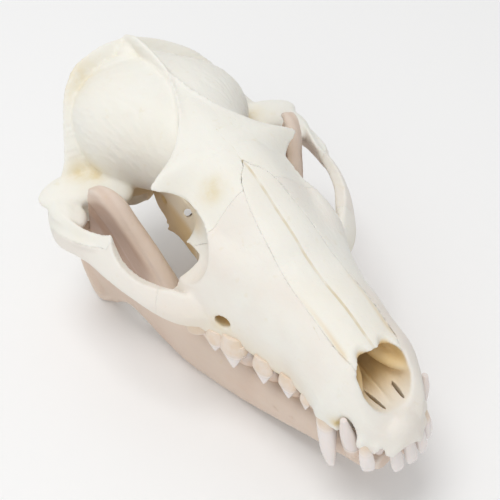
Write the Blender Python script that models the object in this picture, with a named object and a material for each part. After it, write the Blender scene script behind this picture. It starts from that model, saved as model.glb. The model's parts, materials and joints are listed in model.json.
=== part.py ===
# Skull of a raccoon dog with its lower jaw closed, a still model at life size.
#
# Sizes below are in millimetres. X runs to the animal's left, Y from the front of the
# muzzle backwards, Z up from the table that the lower jaw rests on. Left forms are
# mirrored to the right. The finished pieces are moved so that the origin is under the
# middle of the skull, and are scaled to metres.

import math

import bmesh
import bpy
import numpy as np
from mathutils import Matrix, Vector

MM = 0.001
# Space left between two bones that touch
GAP = 0.3

# Driving sizes of the whole skull, and half the width of a block that spans all of it
FRONT = -1.4
BACK = 114.2
HALF_SPAN = 60

# Fineness of the bones before they are thinned out, and their triangles after it
VOXEL = 0.6
SMOOTHING = 3
CRANIUM_TRIANGLES = 6000
JAW_TRIANGLES = 1300

# Profiles along the skull: pairs of place along Y and size
DORSAL_LINE = ((-1, 25.2), (2.2, 28.4), (12, 39.6), (15, 40.6), (21, 42.4), (28, 43.6),
               (34, 45.5), (38, 47.7), (44, 50.1), (53, 53.8), (62, 55.6), (70, 56.6),
               (80, 57.8), (92, 60.2), (100, 60.8), (106, 60.0), (111, 58.0))
ALVEOLAR_WIDTH = ((-1, 3.0), (1.0, 5.2), (4, 7.8), (8, 9.6), (13, 10.9), (18, 10.8), (23, 10.9),
                  (29, 12.6), (36, 14.2), (41, 16.6), (46, 19.0), (52, 20.4), (57, 19.5), (62, 15))
ALVEOLAR_HEIGHT = ((-1, 21.0), (3, 21.6), (8, 23.0), (13, 23.0), (30, 23.6), (46, 23.6),
                   (56, 24.6), (62, 27))
WALL_WIDTH = ((-1, 2.6), (1.0, 4.8), (4, 7.6), (8, 9.6), (13, 11.1), (18, 11.2), (24, 11.4),
              (30, 12.6), (36, 14.0), (42, 16.4), (48, 18.2), (54, 17.0), (62, 12))
CHEEK_WIDTH = ((-1, 2.2), (1.0, 4.4), (4, 7.2), (8, 8.6), (12, 9.1), (18, 9.3), (24, 9.9),
               (30, 10.6), (38, 12.2), (44, 14.4), (52, 14.0), (62, 12))
NASAL_WIDTH = ((-1, 1.8), (1.0, 4.0), (4, 6.4), (8, 6.7), (12, 6.3), (18, 6.4), (28, 6.6),
               (36, 7.4), (44, 9.6), (52, 11.4), (62, 11.8))
NASAL_DROP = ((-1, 0.6), (10, 0.8), (14, 1.6), (28, 1.4), (36, 2.2), (44, 4.2), (52, 6.2), (62, 6.0))

# Forehead: the rim of the orbit, then the temporal ridge that runs back from it
RIM_WIDTH = ((48, 13.0), (52, 12.4), (57, 12.0), (60, 12.6), (62, 14.4), (63.6, 17.0),
             (64.6, 18.2), (66, 15.4), (68, 11.6), (71, 8.4), (76, 5.0), (82, 2.4), (88, 0.9))
RIM_HEIGHT = ((48, 43.6), (52, 45.2), (57, 47.4), (61, 48.8), (64.4, 50.4), (66, 51.8), (68, 53.2),
              (71, 54.8), (76, 56.6), (82, 58.2), (88, 59.8))
ORBIT_WALL = ((48, 9.4), (57, 9.2), (66, 7.8), (74, 6.0), (82, 1.6), (88, 0.7))
FOREHEAD_FLOOR = ((48, 32), (60, 33.5), (70, 37), (76, 48), (88, 57))

# Braincase
BRAIN_WIDTH = ((66, 7.0), (71, 9.4), (74, 10.6), (78, 13.0), (82, 16.0), (87, 19.2), (92, 21.0),
               (97, 21.4), (102, 20.0), (106, 17.0), (109, 14.0), (111, 10.0))
BRAIN_TOP = ((66, 54.0), (74, 55.6), (80, 57.0), (87, 58.4), (94, 58.8), (100, 57.8),
             (105, 55.8), (108, 53.6), (111, 49.6))
BRAIN_FLOOR = ((66, 38.5), (74, 35.6), (82, 33.4), (90, 32.4), (100, 32.2), (108, 33.6), (111, 37))
BRAIN_MIDDLE = ((66, 46), (80, 44.5), (95, 43.5), (111, 42))
# No skull is quite even: how far its left sinks for each millimetre of x, and over
# which stretch of Y and of Z that comes in
BRAIN_TILT = 0.17
TILT_PLACE = (76, 102)
TILT_HEIGHT = (34, 48)

# Nasal cavity: half width along Y, its floor, and how it narrows upwards behind
CAVITY_WIDTH = ((-4, 5.0), (3, 5.6), (12, 5.4), (20, 4.6), (26, 2.4), (28, 0.8))
CAVITY_FLOOR = ((-4, 29.2), (18, 29.2), (28, 30.8))
CAVITY_ROOF = ((-4, 46.6), (12, 38.6), (12.5, 37.9), (15, 38.8), (21, 40.6), (28, 41.8))

# Side outline (y, z) of the open space below the orbit, behind the last upper tooth
ORBIT_FLOOR = ((55.5, 35), (55.0, 30.5), (59.5, 25.0), (64.0, 20.0), (90, 20), (90, 30), (70, 35))

# Thin sheet of bone that is the orbit's inner wall: its outline (y, z), and its x along Y
ORBIT_SHEET = ((54, 40), (54, 28), (61, 26.3), (66, 26.5), (70.8, 26.7), (75.5, 25.6), (79.8, 23.7),
               (78.6, 26.2), (80.6, 27.7), (84.0, 28.2), (86.5, 32), (84, 37), (70, 42))
SHEET_PLACE = ((54, 9.8), (66, 9.3), (76, 9.0), (87, 8.4))
SHEET_THICKNESS = 1.4

# Shelf where the cheek arch grows out of the braincase: centres and radii of its three lobes
ROOT_SHELF = (((24.6, 91.0, 36.4), (10.5, 6.0, 2.6)), ((31.4, 86.2, 35.6), (3.0, 6.4, 1.9)),
              ((19.0, 86.5, 36.5), (5.0, 6.5, 2.6)))

# Cheek arch, from the upper jaw round to the ear: x, y, lower edge, upper edge,
# half thickness, lean of the top inwards
CHEEK_ARCH = ((15.0, 46.0, 25.0, 33.0, 3.4, 0.0),
              (20.5, 49.0, 25.8, 33.4, 2.8, 0.4),
              (24.6, 54.0, 27.8, 34.2, 2.1, 1.0),
              (27.0, 59.5, 30.0, 37.8, 1.7, 1.8),
              (28.4, 65.0, 31.0, 40.6, 1.5, 2.4),
              (30.0, 70.5, 31.0, 38.2, 1.5, 1.6),
              (31.8, 77.0, 30.0, 37.0, 1.6, 1.0),
              (33.2, 84.0, 28.4, 37.4, 1.8, 0.8),
              (31.8, 89.6, 28.6, 38.0, 2.2, 0.4),
              (28.0, 92.6, 30.2, 37.6, 2.6, 0.0),
              (22.0, 93.4, 31.0, 37.0, 3.0, 0.0),
              (16.0, 93.0, 32.0, 37.0, 3.0, 0.0))

# Crest round the back of the skull: x, y, z of its edge
NUCHAL_CREST = ((0, 111.4, 58.5), (6, 110.8, 57.6), (11, 109.6, 56.1), (16, 107.5, 54.0),
                (20.2, 103.8, 50.2), (23.2, 100.0, 45.2), (25.6, 96.6, 40.4), (28.2, 94.2, 37.4))
CREST_CENTRE = Vector((0, 100, 44))
CREST_REACH = 3.4
CREST_THICKNESS = 1.1

# Lower jaw: x, y, lower edge, upper edge, half thickness
JAW_BODY = ((2.7, 2.4, 14.4, 18.4, 2.3),
            (3.3, 6.0, 11.6, 18.6, 3.0),
            (3.9, 11.0, 9.4, 18.2, 3.2),
            (5.2, 17.0, 7.4, 16.6, 2.9),
            (7.2, 25.0, 4.9, 15.4, 2.6),
            (9.3, 33.0, 2.6, 15.2, 2.6),
            (11.6, 42.0, 0.8, 15.6, 2.8),
            (14.0, 51.0, -0.3, 16.4, 2.8),
            (16.4, 59.0, -0.3, 17.6, 2.6),
            (18.6, 67.0, 1.8, 19.0, 2.2),
            (20.8, 75.0, 5.2, 20.0, 1.8))
# Side outline of the upright part of the jaw: y, z
RAMUS_OUTLINE = ((60, 14), (62.5, 22), (66.5, 30), (69.5, 37), (72, 42.4), (75.5, 45.0), (79, 44.4),
                 (81.8, 40.0), (83.8, 33.5), (86, 28.0), (90, 25.0), (92, 21), (94, 17.2),
                 (97, 15.6), (99.4, 14.4), (97.8, 11.0), (97.0, 7.0), (94.8, 2.8), (90.4, -0.3),
                 (86, 1.2), (81.5, 5.0), (77, 6.4), (71, 4.0), (64, 2))
# Thick front rim of the upright part, up to its hooked tip: x, y, z
CORONOID_EDGE = ((16.6, 59.4, 15.0), (17.2, 61.6, 22.5), (18.8, 65.4, 30.0), (21.2, 69.8, 38.0),
                 (22.8, 73.0, 43.0), (24.4, 77.4, 44.2), (25.8, 81.6, 42.2))
RAMUS_THICKNESS = 2.3
RAMUS_PLACE = ((58, 17.4), (66, 19.4), (76, 22.2), (86, 24.4), (92, 25.4), (100, 25.8))
RAMUS_LEAN = 0.11
# Above this height the upright part leans outwards, and below it inwards
LEAN_FROM = 15
CONDYLE_CENTRE = (23.6, 89.2, 25.4)
CONDYLE_RADII = (7.0, 2.5, 2.7)

# Where the bones part: half width of the two nasal bones, and the side view of the
# seam between the muzzle and the braincase as y, z. A growing face block also rises by
# FACE_RISE, so that its slanted stretch moves back as far as the upright ones.
NASAL_BONES = ((10, 5.2), (13, 5.8), (20, 6.2), (30, 6.0), (40, 5.4), (48, 4.4), (53, 3.0), (57, 1.0))
NASAL_THICKNESS = 2.0
NASAL_HEADROOM = 4
FACE_SEAM = ((52, 70), (50, 42), (62.6, 33), (63.6, 10))
FACE_FRONT = ((-10, 10), (-10, 70))
FACE_RISE = 0.52
# The cheek bone's block: its front edge from inside to outside as x, y, its inner and outer
# x behind, and y of its slanted rear edge at two heights
CHEEK_FRONT = ((19.6, 57.3), (28.8, 49.7))
CHEEK_REAR = (21.5, 40)
CHEEK_SLANT = ((20, 85.5), (46, 75.5))

# Side outline of the block below the table that cuts the lower jaw flat
BELOW_TABLE = ((-20, 0), (-20, -20), (140, -20), (140, 0))

# Teeth of the left side. Cones: gum x, y, z, tip x, y, z, half length, half width, row angle
UPPER_INCISORS = ((1.8, 1.5, 21.8, 1.8, -0.6, 15.2, 1.6, 1.05, 90),
                  (4.9, 1.9, 22.0, 4.9, 0.0, 15.8, 1.45, 1.1, 72),
                  (7.2, 3.8, 23.0, 7.4, 1.7, 18.0, 1.55, 1.3, 50))
LOWER_INCISORS = ((1.5, 3.4, 18.0, 1.5, 3.0, 20.4, 0.9, 0.9, 90),
                  (3.4, 3.8, 18.0, 3.5, 3.4, 20.6, 1.0, 0.9, 75),
                  (5.0, 5.0, 18.0, 5.3, 4.7, 20.8, 1.1, 0.9, 55))
LOST_TOOTH = 1
UPPER_TEETH = ((10.2, 19.0, 23.6, 10.4, 18.8, 20.4, 1.6, 1.0, 2),
               (11.0, 24.4, 23.8, 11.0, 24.2, 18.8, 2.5, 1.2, 12),
               (12.9, 30.8, 24.0, 13.1, 30.4, 18.6, 2.8, 1.3, 16),
               (15.4, 38.8, 24.2, 15.7, 38.4, 17.6, 3.2, 1.7, 20),
               (17.0, 43.2, 24.2, 17.3, 43.4, 19.4, 2.6, 1.5, 20),
               (14.2, 36.8, 24.0, 13.6, 36.8, 20.8, 1.3, 1.2, 20))
LOWER_TEETH = ((4.9, 16.0, 16.2, 4.9, 15.8, 19.0, 1.4, 0.9, 10),
               (6.2, 21.4, 15.4, 6.2, 21.0, 19.6, 2.2, 1.1, 12),
               (7.8, 27.6, 15.0, 7.8, 27.2, 19.8, 2.5, 1.2, 14),
               (9.4, 34.0, 15.0, 9.4, 33.6, 20.0, 2.8, 1.3, 15),
               (11.2, 40.6, 15.2, 11.2, 40.2, 20.6, 3.0, 1.7, 16),
               (12.2, 44.6, 15.4, 12.2, 44.4, 19.4, 2.6, 1.7, 16))
# Molars: gum x, y, z, half length, half width, row angle, crown height
UPPER_MOLARS = ((16.6, 49.2, 24.2, 3.3, 4.2, 8, 2.7), (15.6, 55.2, 24.8, 2.1, 3.2, -4, 2.2))
LOWER_MOLARS = ((14.4, 51.0, 16.4, 2.8, 1.9, 18, 2.2), (16.2, 56.0, 17.6, 1.5, 1.4, 20, 1.5))
# Canine teeth: points of the middle line, and the radius at each
UPPER_CANINE = (((8.2, 17.0, 30), (9.0, 14.0, 25), (9.7, 12.4, 20.5), (10.2, 11.0, 16),
                 (10.2, 9.7, 11.6)), (1.7, 2.1, 1.9, 1.35, 0.3))
LOWER_CANINE = (((4.6, 11.0, 11), (6.2, 8.6, 16.5), (7.8, 7.2, 21), (9.2, 6.8, 25.6),
                 (9.9, 7.2, 30.0)), (1.7, 2.0, 1.8, 1.2, 0.3))
# Rings of a pointed tooth, as a share of its height and of its width; the last width is
# the tooth's own bluntness. Cusps of a molar: place along and across the crown, and height.
CONE_RINGS = ((0.0, 0.86), (0.28, 1.0))
CONE_SHOULDER = 0.75
MOLAR_RINGS = ((0, 0.88), (0.55, 1.0), (0.75, 0.8))
MOLAR_ROOT = 2.4
MOLAR_CUSPS = ((0.45, 0.55, 1.15), (-0.45, 0.55, 1.1), (0.3, -0.5, 0.95))


def clear_scene():
    for thing in list(bpy.data.objects):
        bpy.data.objects.remove(thing, do_unlink=True)


def along(knots, place):
    """Value of a profile at a place, on a smooth curve through its few knots."""
    xs = np.array([k[0] for k in knots], float)
    ys = np.array([k[1] for k in knots], float)
    step = np.diff(xs)
    slope = np.diff(ys) / step
    tangent = np.zeros_like(ys)
    tangent[1:-1] = [0 if a * b <= 0 else 2 * a * b / (a + b) for a, b in zip(slope[:-1], slope[1:])]
    tangent[0], tangent[-1] = slope[0], slope[-1]
    place = min(max(place, xs[0]), xs[-1])
    i = min(max(int(np.searchsorted(xs, place)) - 1, 0), len(step) - 1)
    t = (place - xs[i]) / step[i]
    a, b = ys[i], ys[i + 1]
    ta, tb = tangent[i] * step[i], tangent[i + 1] * step[i]
    return float(a + t * ta + t * t * (3 * (b - a) - 2 * ta - tb) + t ** 3 * (2 * (a - b) + ta + tb))


def curve_through(points, per_span, closed=False):
    """Points on a smooth curve through the given ones."""
    pts = [Vector(p) for p in points]
    n = len(pts)
    result = []
    spans = n if closed else n - 1
    for i in range(spans):
        if closed:
            a, b, c, d = (pts[(i + k) % n] for k in (-1, 0, 1, 2))
        else:
            b, c = pts[i], pts[i + 1]
            a = pts[i - 1] if i > 0 else b * 2 - c
            d = pts[i + 2] if i + 2 < n else c * 2 - b
        for k in range(per_span):
            t = k / per_span
            result.append(0.5 * (2 * b + (c - a) * t + (2 * a - 5 * b + 4 * c - d) * t * t
                                 + (3 * b - a - 3 * c + d) * t ** 3))
    if not closed:
        result.append(pts[-1].copy())
    return result


def new_object(name, verts, faces):
    mesh = bpy.data.meshes.new(name)
    mesh.from_pydata([tuple(v) for v in verts], [], faces)
    bm = bmesh.new()
    bm.from_mesh(mesh)
    bmesh.ops.recalc_face_normals(bm, faces=bm.faces)
    bm.to_mesh(mesh)
    bm.free()
    obj = bpy.data.objects.new(name, mesh)
    bpy.context.scene.collection.objects.link(obj)
    return obj


def circle_steps(sides):
    return [2 * math.pi * k / sides for k in range(sides)]


def squared(value, power):
    """A sine or cosine raised to a power, with its sign kept: below 1 it squares a circle."""
    return math.copysign(abs(value) ** power, value)


def loft(name, rings, flat_ends=False):
    """Closed skin over a row of rings that all have the same number of points."""
    count = len(rings[0])
    verts = [p for ring in rings for p in ring]
    faces = []
    for r in range(len(rings) - 1):
        for k in range(count):
            a, b = r * count + k, r * count + (k + 1) % count
            faces.append((a, b, b + count, a + count))
    for r in (0, len(rings) - 1):
        if flat_ends:
            faces.append(tuple(range(r * count, (r + 1) * count)))
            continue
        verts.append(sum((Vector(p) for p in rings[r]), Vector()) / count)
        last = len(verts) - 1
        faces += [(r * count + (k + 1) % count, r * count + k, last) for k in range(count)]
    return new_object(name, verts, faces)


def slab(name, outline, near, far):
    """Block with a given side outline (y, z) that reaches from one x to another."""
    return loft(name, [[Vector((x, y, z)) for y, z in outline] for x in (near, far)], flat_ends=True)


def ball(name, centre, radii, turn=(0, 0, 0), detail=4):
    """Ellipsoid with its radii along X, Y and Z, then turned, in degrees."""
    bm = bmesh.new()
    bmesh.ops.create_icosphere(bm, subdivisions=detail, radius=1)
    spin = Matrix.Rotation(math.radians(turn[2]), 4, "Z")
    spin @= Matrix.Rotation(math.radians(turn[1]), 4, "Y") @ Matrix.Rotation(math.radians(turn[0]), 4, "X")
    place = Matrix.Translation(Vector(centre)) @ spin @ Matrix.Diagonal((*radii, 1))
    bmesh.ops.transform(bm, matrix=place, verts=bm.verts)
    mesh = bpy.data.meshes.new(name)
    bm.to_mesh(mesh)
    bm.free()
    obj = bpy.data.objects.new(name, mesh)
    bpy.context.scene.collection.objects.link(obj)
    return obj


def spike(name, points, radii, sides=10, per_span=4, flat=1.0, across=Vector((1, 0, 0))):
    """Round or flattened cone that follows a curve. flat scales it across the bend."""
    path = curve_through(points, per_span)
    knots = [(i, r) for i, r in enumerate(radii)]
    rings = []
    for i, p in enumerate(path):
        ahead = path[min(i + 1, len(path) - 1)] - path[max(i - 1, 0)]
        ahead.normalize()
        side = (across - ahead * across.dot(ahead)).normalized()
        up = ahead.cross(side)
        r = along(knots, i / per_span)
        rings.append([p + side * (r * flat * math.cos(a)) + up * (r * math.sin(a))
                      for a in circle_steps(sides)])
    return loft(name, rings)


def band(name, stations, squareness=2.6, per_span=6, sides=24):
    """Bar with an upright oval section: x, y, lower edge, upper edge, half thickness, lean."""
    path = curve_through([s[:3] for s in stations], per_span)
    rings = []
    for i, p in enumerate(path):
        u = i / per_span
        top, half, lean = (along([(k, s[c]) for k, s in enumerate(stations)], u) for c in (3, 4, 5))
        ahead = path[min(i + 1, len(path) - 1)] - path[max(i - 1, 0)]
        ahead.z = 0
        ahead.normalize()
        side = Vector((-ahead.y, ahead.x, 0))
        if side.x > 0:
            side = -side
        middle = Vector((p.x, p.y, (p.z + top) / 2))
        ring = []
        for a in circle_steps(sides):
            across = squared(math.cos(a), 2 / squareness)
            rise = squared(math.sin(a), 2 / squareness)
            ring.append(middle + side * (half * across + lean * rise)
                        + Vector((0, 0, (top - p.z) / 2 * rise)))
        rings.append(ring)
    return loft(name, rings)


def plate(name, outline, thickness, place, lean, edge=0.8):
    """Upright plate with rounded edges from a side outline, bent and leaning outwards."""
    ring = curve_through([(0, y, z) for y, z in outline], 4, closed=True)
    count = len(ring)
    area = sum(ring[k - 1].y * ring[k].z - ring[k].y * ring[k - 1].z for k in range(count))
    winding = -1 if area > 0 else 1
    rings = []
    for share, amount in ((-0.5, edge), (-0.2, 0), (0.2, 0), (0.5, edge)):
        layer = []
        for k, p in enumerate(ring):
            ahead = ring[(k + 1) % count] - ring[k - 1]
            q = p - Vector((0, -ahead.z, ahead.y)).normalized() * amount * winding
            x = share * thickness + along(place, q.y) + lean * (q.z - LEAN_FROM)
            layer.append(Vector((x, q.y, q.z)))
        rings.append(layer)
    return loft(name, rings, flat_ends=True)


def mirrored(obj):
    """Copy of a form on the other side of the middle plane."""
    mesh = obj.data.copy()
    mesh.transform(Matrix.Diagonal((-1, 1, 1, 1)))
    mesh.flip_normals()
    twin = bpy.data.objects.new(obj.name + "_mirrored", mesh)
    bpy.context.scene.collection.objects.link(twin)
    return twin


def flipped(obj):
    """The mirrored form alone."""
    twin = mirrored(obj)
    bpy.data.objects.remove(obj, do_unlink=True)
    return twin


def both(obj):
    return [obj, mirrored(obj)]


def bake(obj):
    """Replace an object's mesh by what its modifiers make of it."""
    bpy.context.view_layer.update()
    graph = bpy.context.evaluated_depsgraph_get()
    mesh = bpy.data.meshes.new_from_object(obj.evaluated_get(graph))
    obj.modifiers.clear()
    old = obj.data
    obj.data = mesh
    bpy.data.meshes.remove(old)
    return obj


def combine(obj, others, operation, solver="MANIFOLD"):
    """Union of an object with closed meshes, or those meshes cut out of it."""
    group = bpy.data.collections.new("boolean_pieces")
    bpy.context.scene.collection.children.link(group)
    for other in others:
        group.objects.link(other)
    step = obj.modifiers.new("combine", "BOOLEAN")
    step.operation = operation
    step.operand_type = "COLLECTION"
    step.collection = group
    step.solver = solver
    bake(obj)
    for other in others:
        bpy.data.objects.remove(other, do_unlink=True)
    bpy.data.collections.remove(group)
    return obj


def keep_largest(obj):
    """Drop every closed surface but the largest."""
    bm = bmesh.new()
    bm.from_mesh(obj.data)
    unseen = set(bm.verts)
    shells = []
    while unseen:
        front = [unseen.pop()]
        shell = list(front)
        while front:
            vert = front.pop()
            for edge in vert.link_edges:
                other = edge.other_vert(vert)
                if other in unseen:
                    unseen.remove(other)
                    front.append(other)
                    shell.append(other)
        shells.append(shell)
    shells.sort(key=len, reverse=True)
    for shell in shells[1:]:
        bmesh.ops.delete(bm, geom=shell, context="VERTS")
    bm.to_mesh(obj.data)
    bm.free()
    return obj


def resurface(obj, triangles):
    """Even skin over the fused forms, softened where they meet, then thinned out."""
    remesh = obj.modifiers.new("remesh", "REMESH")
    remesh.mode = "VOXEL"
    remesh.voxel_size = VOXEL
    soften = obj.modifiers.new("soften", "SMOOTH")
    soften.factor = 0.5
    soften.iterations = SMOOTHING
    bake(obj)
    keep_largest(obj)
    faces = sum(len(p.vertices) - 2 for p in obj.data.polygons)
    thin = obj.modifiers.new("thin", "DECIMATE")
    thin.ratio = min(1.0, triangles / faces)
    thin.use_collapse_triangulate = True
    return bake(obj)


def muzzle_ring(y):
    """Section of the muzzle: palate, tooth margin, wall, cheek, nasal shoulder, top."""
    top = along(DORSAL_LINE, y)
    margin = along(ALVEOLAR_HEIGHT, y)
    wide = along(ALVEOLAR_WIDTH, y)
    rise = top - margin
    half = [(0, margin + min(2.6, 0.35 * rise)),
            (wide * 0.62, margin + min(1.6, 0.2 * rise)),
            (wide * 0.92, margin),
            (wide, margin + 0.12 * rise),
            (along(WALL_WIDTH, y), margin + 0.42 * rise),
            (along(CHEEK_WIDTH, y), margin + 0.74 * rise),
            (along(NASAL_WIDTH, y), top - along(NASAL_DROP, y)),
            (along(NASAL_WIDTH, y) * 0.5, top - 0.18 * along(NASAL_DROP, y)),
            (0, top)]
    points = half + [(-x, z) for x, z in half[-2:0:-1]]
    return curve_through([(x, y, z) for x, z in points], 4, closed=True)


def forehead_ring(y):
    """Section between the orbits: floor, orbit wall, rim or temporal ridge, top."""
    top = along(DORSAL_LINE, y)
    rim, height = along(RIM_WIDTH, y), along(RIM_HEIGHT, y)
    wall, floor = along(ORBIT_WALL, y), along(FOREHEAD_FLOOR, y)
    half = [(0, floor), (wall * 0.9, floor + 0.5), (wall, floor + 0.5 * (height - floor)),
            (wall + 0.35 * (rim - wall), height - 2.6), (rim - 0.3, height - 0.6),
            (rim - 0.5, height + 0.5), (rim * 0.62, height + 0.62 * (top - height)), (0, top)]
    points = half + [(-x, z) for x, z in half[-2:0:-1]]
    return curve_through([(x, y, z) for x, z in points], 4, closed=True)


def brain_ring(y, sides=48):
    """Rounded section of the braincase."""
    wide, middle = along(BRAIN_WIDTH, y), along(BRAIN_MIDDLE, y)
    top, floor = along(BRAIN_TOP, y), along(BRAIN_FLOOR, y)
    ring = []
    for a in circle_steps(sides):
        above = math.sin(a) > 0
        power = 2 / 2.25 if above else 2 / 2.6
        rise = top - middle if above else middle - floor
        ring.append(Vector((wide * squared(math.cos(a), power), y,
                            middle + rise * squared(math.sin(a), power))))
    return ring


def share_of(value, span):
    """0 at the start of a span, 1 at its end, and even between."""
    return min(max((value - span[0]) / (span[1] - span[0]), 0), 1)


def tilted(obj):
    """Lower the left of the braincase a little and raise its right."""
    for vert in obj.data.vertices:
        x, y, z = vert.co
        vert.co.z -= BRAIN_TILT * x * share_of(y, TILT_PLACE) * share_of(z, TILT_HEIGHT)
    return obj


def nuchal_crest():
    """Thin raised crest that runs over the back of the skull from ear to ear."""
    left = curve_through(NUCHAL_CREST, 5)
    path = [Vector((-p.x, p.y, p.z)) for p in reversed(left[1:])] + left
    rings = []
    for i, p in enumerate(path):
        ahead = (path[min(i + 1, len(path) - 1)] - path[max(i - 1, 0)]).normalized()
        out = p - CREST_CENTRE
        out = (out - ahead * out.dot(ahead)).normalized()
        across = ahead.cross(out)
        middle = p - out * CREST_REACH
        rings.append([middle + out * (CREST_REACH * math.cos(a)) + across * (CREST_THICKNESS * math.sin(a))
                      for a in circle_steps(16)])
    return loft("nuchal_crest", rings)


def nasal_cavity(sides=24, squareness=0.8):
    """Pocket behind the opening of the nose."""
    rings = []
    for y in np.arange(CAVITY_WIDTH[0][0], CAVITY_WIDTH[-1][0] + 0.1, 1.6):
        low, high = along(CAVITY_FLOOR, y), along(CAVITY_ROOF, y)
        half, middle, rise = along(CAVITY_WIDTH, y), (low + high) / 2, (high - low) / 2
        rings.append([Vector((half * squared(math.cos(a), squareness), y,
                              middle + rise * squared(math.sin(a), squareness)))
                      for a in circle_steps(sides)])
    return loft("nasal_cavity", rings)


def build_cranium_bone():
    trunk = loft("cranium", [muzzle_ring(y) for y in np.arange(-0.8, 62.1, 1.2)])
    forms = [loft("forehead", [forehead_ring(y) for y in np.arange(48, 88.1, 1.25)]),
             tilted(loft("brain", [brain_ring(y) for y in np.arange(66, 111.1, 1.5)])),
             tilted(nuchal_crest()),
             tilted(ball("occiput", (0, 103.5, 49.6), (14.0, 7.4, 7.6))),
             spike("sagittal_crest", ((0, 84, 57.0), (0, 94, 59.2), (0, 104, 59.4), (0, 111, 57.6)),
                   (1.2, 1.8, 1.9, 1.6), flat=0.5)]
    forms += both(band("cheek_arch", CHEEK_ARCH))
    forms += both(ball("glenoid", (23.6, 90.8, 32.0), (8.6, 5.2, 4.0)))
    for place, radii in ROOT_SHELF:
        forms += both(ball("root_shelf", place, radii))
    forms += both(plate("orbit_wall", ORBIT_SHEET, SHEET_THICKNESS, SHEET_PLACE, 0.0, edge=0.3))
    forms += both(spike("postglenoid", ((21.5, 93.6, 32), (21.5, 94.0, 29.0), (21.2, 94.0, 26.4)),
                        (2.6, 1.7, 0.8), flat=1.8))
    forms += both(ball("bulla", (11.6, 95.0, 30.6), (6.2, 8.4, 6.0), (0, 0, -14)))
    forms += both(spike("paroccipital", ((15.6, 104, 36), (15.2, 104.6, 30), (14.8, 105, 25.2)),
                        (3.2, 2.4, 0.8)))
    forms += both(ball("mastoid", (20.4, 99.4, 36.0), (4.2, 4.4, 4.6)))
    forms += both(ball("occipital_condyle", (6.8, 110.4, 35.6), (3.9, 3.8, 4.4), (0, 0, 24)))
    forms += both(spike("pterygoid", ((8.6, 56, 29), (8.2, 64, 30.2), (7.4, 72, 30.6), (7.2, 79, 29.0)),
                        (3.6, 4.6, 5.0, 3.8), flat=0.3, across=Vector((1, 0, 0))))
    forms += both(spike("hamulus", ((7.2, 77, 28), (7.4, 80, 25.2), (7.8, 82.6, 23.6)),
                        (1.6, 1.2, 0.5), flat=0.7))
    forms.append(band("skull_base", ((0, 66, 36, 42, 6.5, 0), (0, 76, 33, 42, 6.0, 0),
                                     (0, 88, 31.4, 42, 7.0, 0), (0, 100, 31.0, 42, 9.0, 0),
                                     (0, 110, 32.6, 42, 9.0, 0)), squareness=3.4))
    combine(trunk, forms, "UNION")

    holes = [nasal_cavity(),
             *both(ball("jaw_joint", CONDYLE_CENTRE, [r + 0.8 for r in CONDYLE_RADII], (0, 0, 6))),
             *both(ball("canine_notch", (9.6, 6.9, 25.2), (2.4, 2.3, 5.6), (0, 16, 0))),
             ball("foramen_magnum", (0, 112.5, 39.4), (6.2, 8.0, 5.2)),
             ball("choana", (0, 66, 31.8), (5.8, 15.0, 5.4))]
    holes += both(ball("orbit", (20.4, 58.4, 41.6), (10.8, 13.2, 9.4)))
    holes += both(spike("infraorbital", ((15.6, 34, 31.6), (15.0, 41, 30.6), (13.6, 50, 30.6)),
                        (2.4, 2.2, 1.7), sides=16))
    holes += both(ball("ear_hole", (20.6, 95.8, 33.6), (4.6, 2.3, 2.4), (0, 0, 0)))
    holes += both(ball("palatine_fissure", (3.0, 9.0, 26.0), (1.0, 3.6, 6.0)))
    holes += both(ball("nasal_notch", (2.7, 10.8, 40.4), (1.9, 2.8, 3.0)))
    holes += both(slab("orbit_floor", ORBIT_FLOOR, 9.2, 21.0))
    combine(trunk, holes, "DIFFERENCE")
    return resurface(trunk, CRANIUM_TRIANGLES)


def oval_ring(middle, long_radius, short_radius, sides):
    return [middle + long_radius * math.cos(a) + short_radius * math.sin(a) for a in circle_steps(sides)]


def cone_tooth(gum, tip, half_length, half_width, angle, root=2.6, sides=6, blunt=0.12):
    """Tooth of oval section that ends in a point or a blunt edge, its root sunk into the bone."""
    gum, tip = Vector(gum), Vector(tip)
    height = (tip - gum).length
    axis = (tip - gum).normalized()
    forward = Matrix.Rotation(math.radians(-angle), 3, "Z") @ Vector((0, 1, 0))
    forward = (forward - axis * forward.dot(axis)).normalized()
    across = axis.cross(forward)
    steps = [(-root, 0.6)] + [(share * height, size) for share, size in CONE_RINGS]
    steps += [(CONE_SHOULDER * height, (1 + blunt) / 2), (height, blunt)]
    return loft("tooth", [oval_ring(gum + axis * step, forward * half_length * size,
                                    across * half_width * size, sides) for step, size in steps])


def molar_tooth(gum, half_length, half_width, angle, height, downwards):
    """Low crushing tooth: an oval block with a cusp at each corner."""
    rise = Vector((0, 0, -1 if downwards else 1))
    forward = Matrix.Rotation(math.radians(-angle), 3, "Z") @ Vector((0, 1, 0))
    across = Vector((forward.y, -forward.x, 0))
    gum = Vector(gum)
    steps = [(-MOLAR_ROOT, 0.6)] + [(share * height, size) for share, size in MOLAR_RINGS]
    pieces = [loft("molar", [oval_ring(gum + rise * step, forward * half_length * size,
                                       across * half_width * size, 10) for step, size in steps])]
    for along_row, sideways, tall in MOLAR_CUSPS:
        foot = gum + forward * (half_length * along_row) + across * (half_width * sideways)
        pieces.append(cone_tooth(foot + rise * 0.3 * height, foot + rise * tall * height,
                                 half_length * 0.42, half_width * 0.32, angle, root=0.8, sides=5))
    return pieces


def tooth_row(incisors, cones, molars, canine, downwards):
    """All the teeth of the left side of one jaw, the incisors first."""
    pieces = [cone_tooth(t[:3], t[3:6], *t[6:], blunt=0.7) for t in incisors]
    pieces += [cone_tooth(t[:3], t[3:6], *t[6:]) for t in cones]
    for m in molars:
        pieces += molar_tooth(m[:3], *m[3:], downwards)
    pieces.append(spike("canine", *canine, sides=10, per_span=2, flat=0.9))
    return pieces


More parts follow.
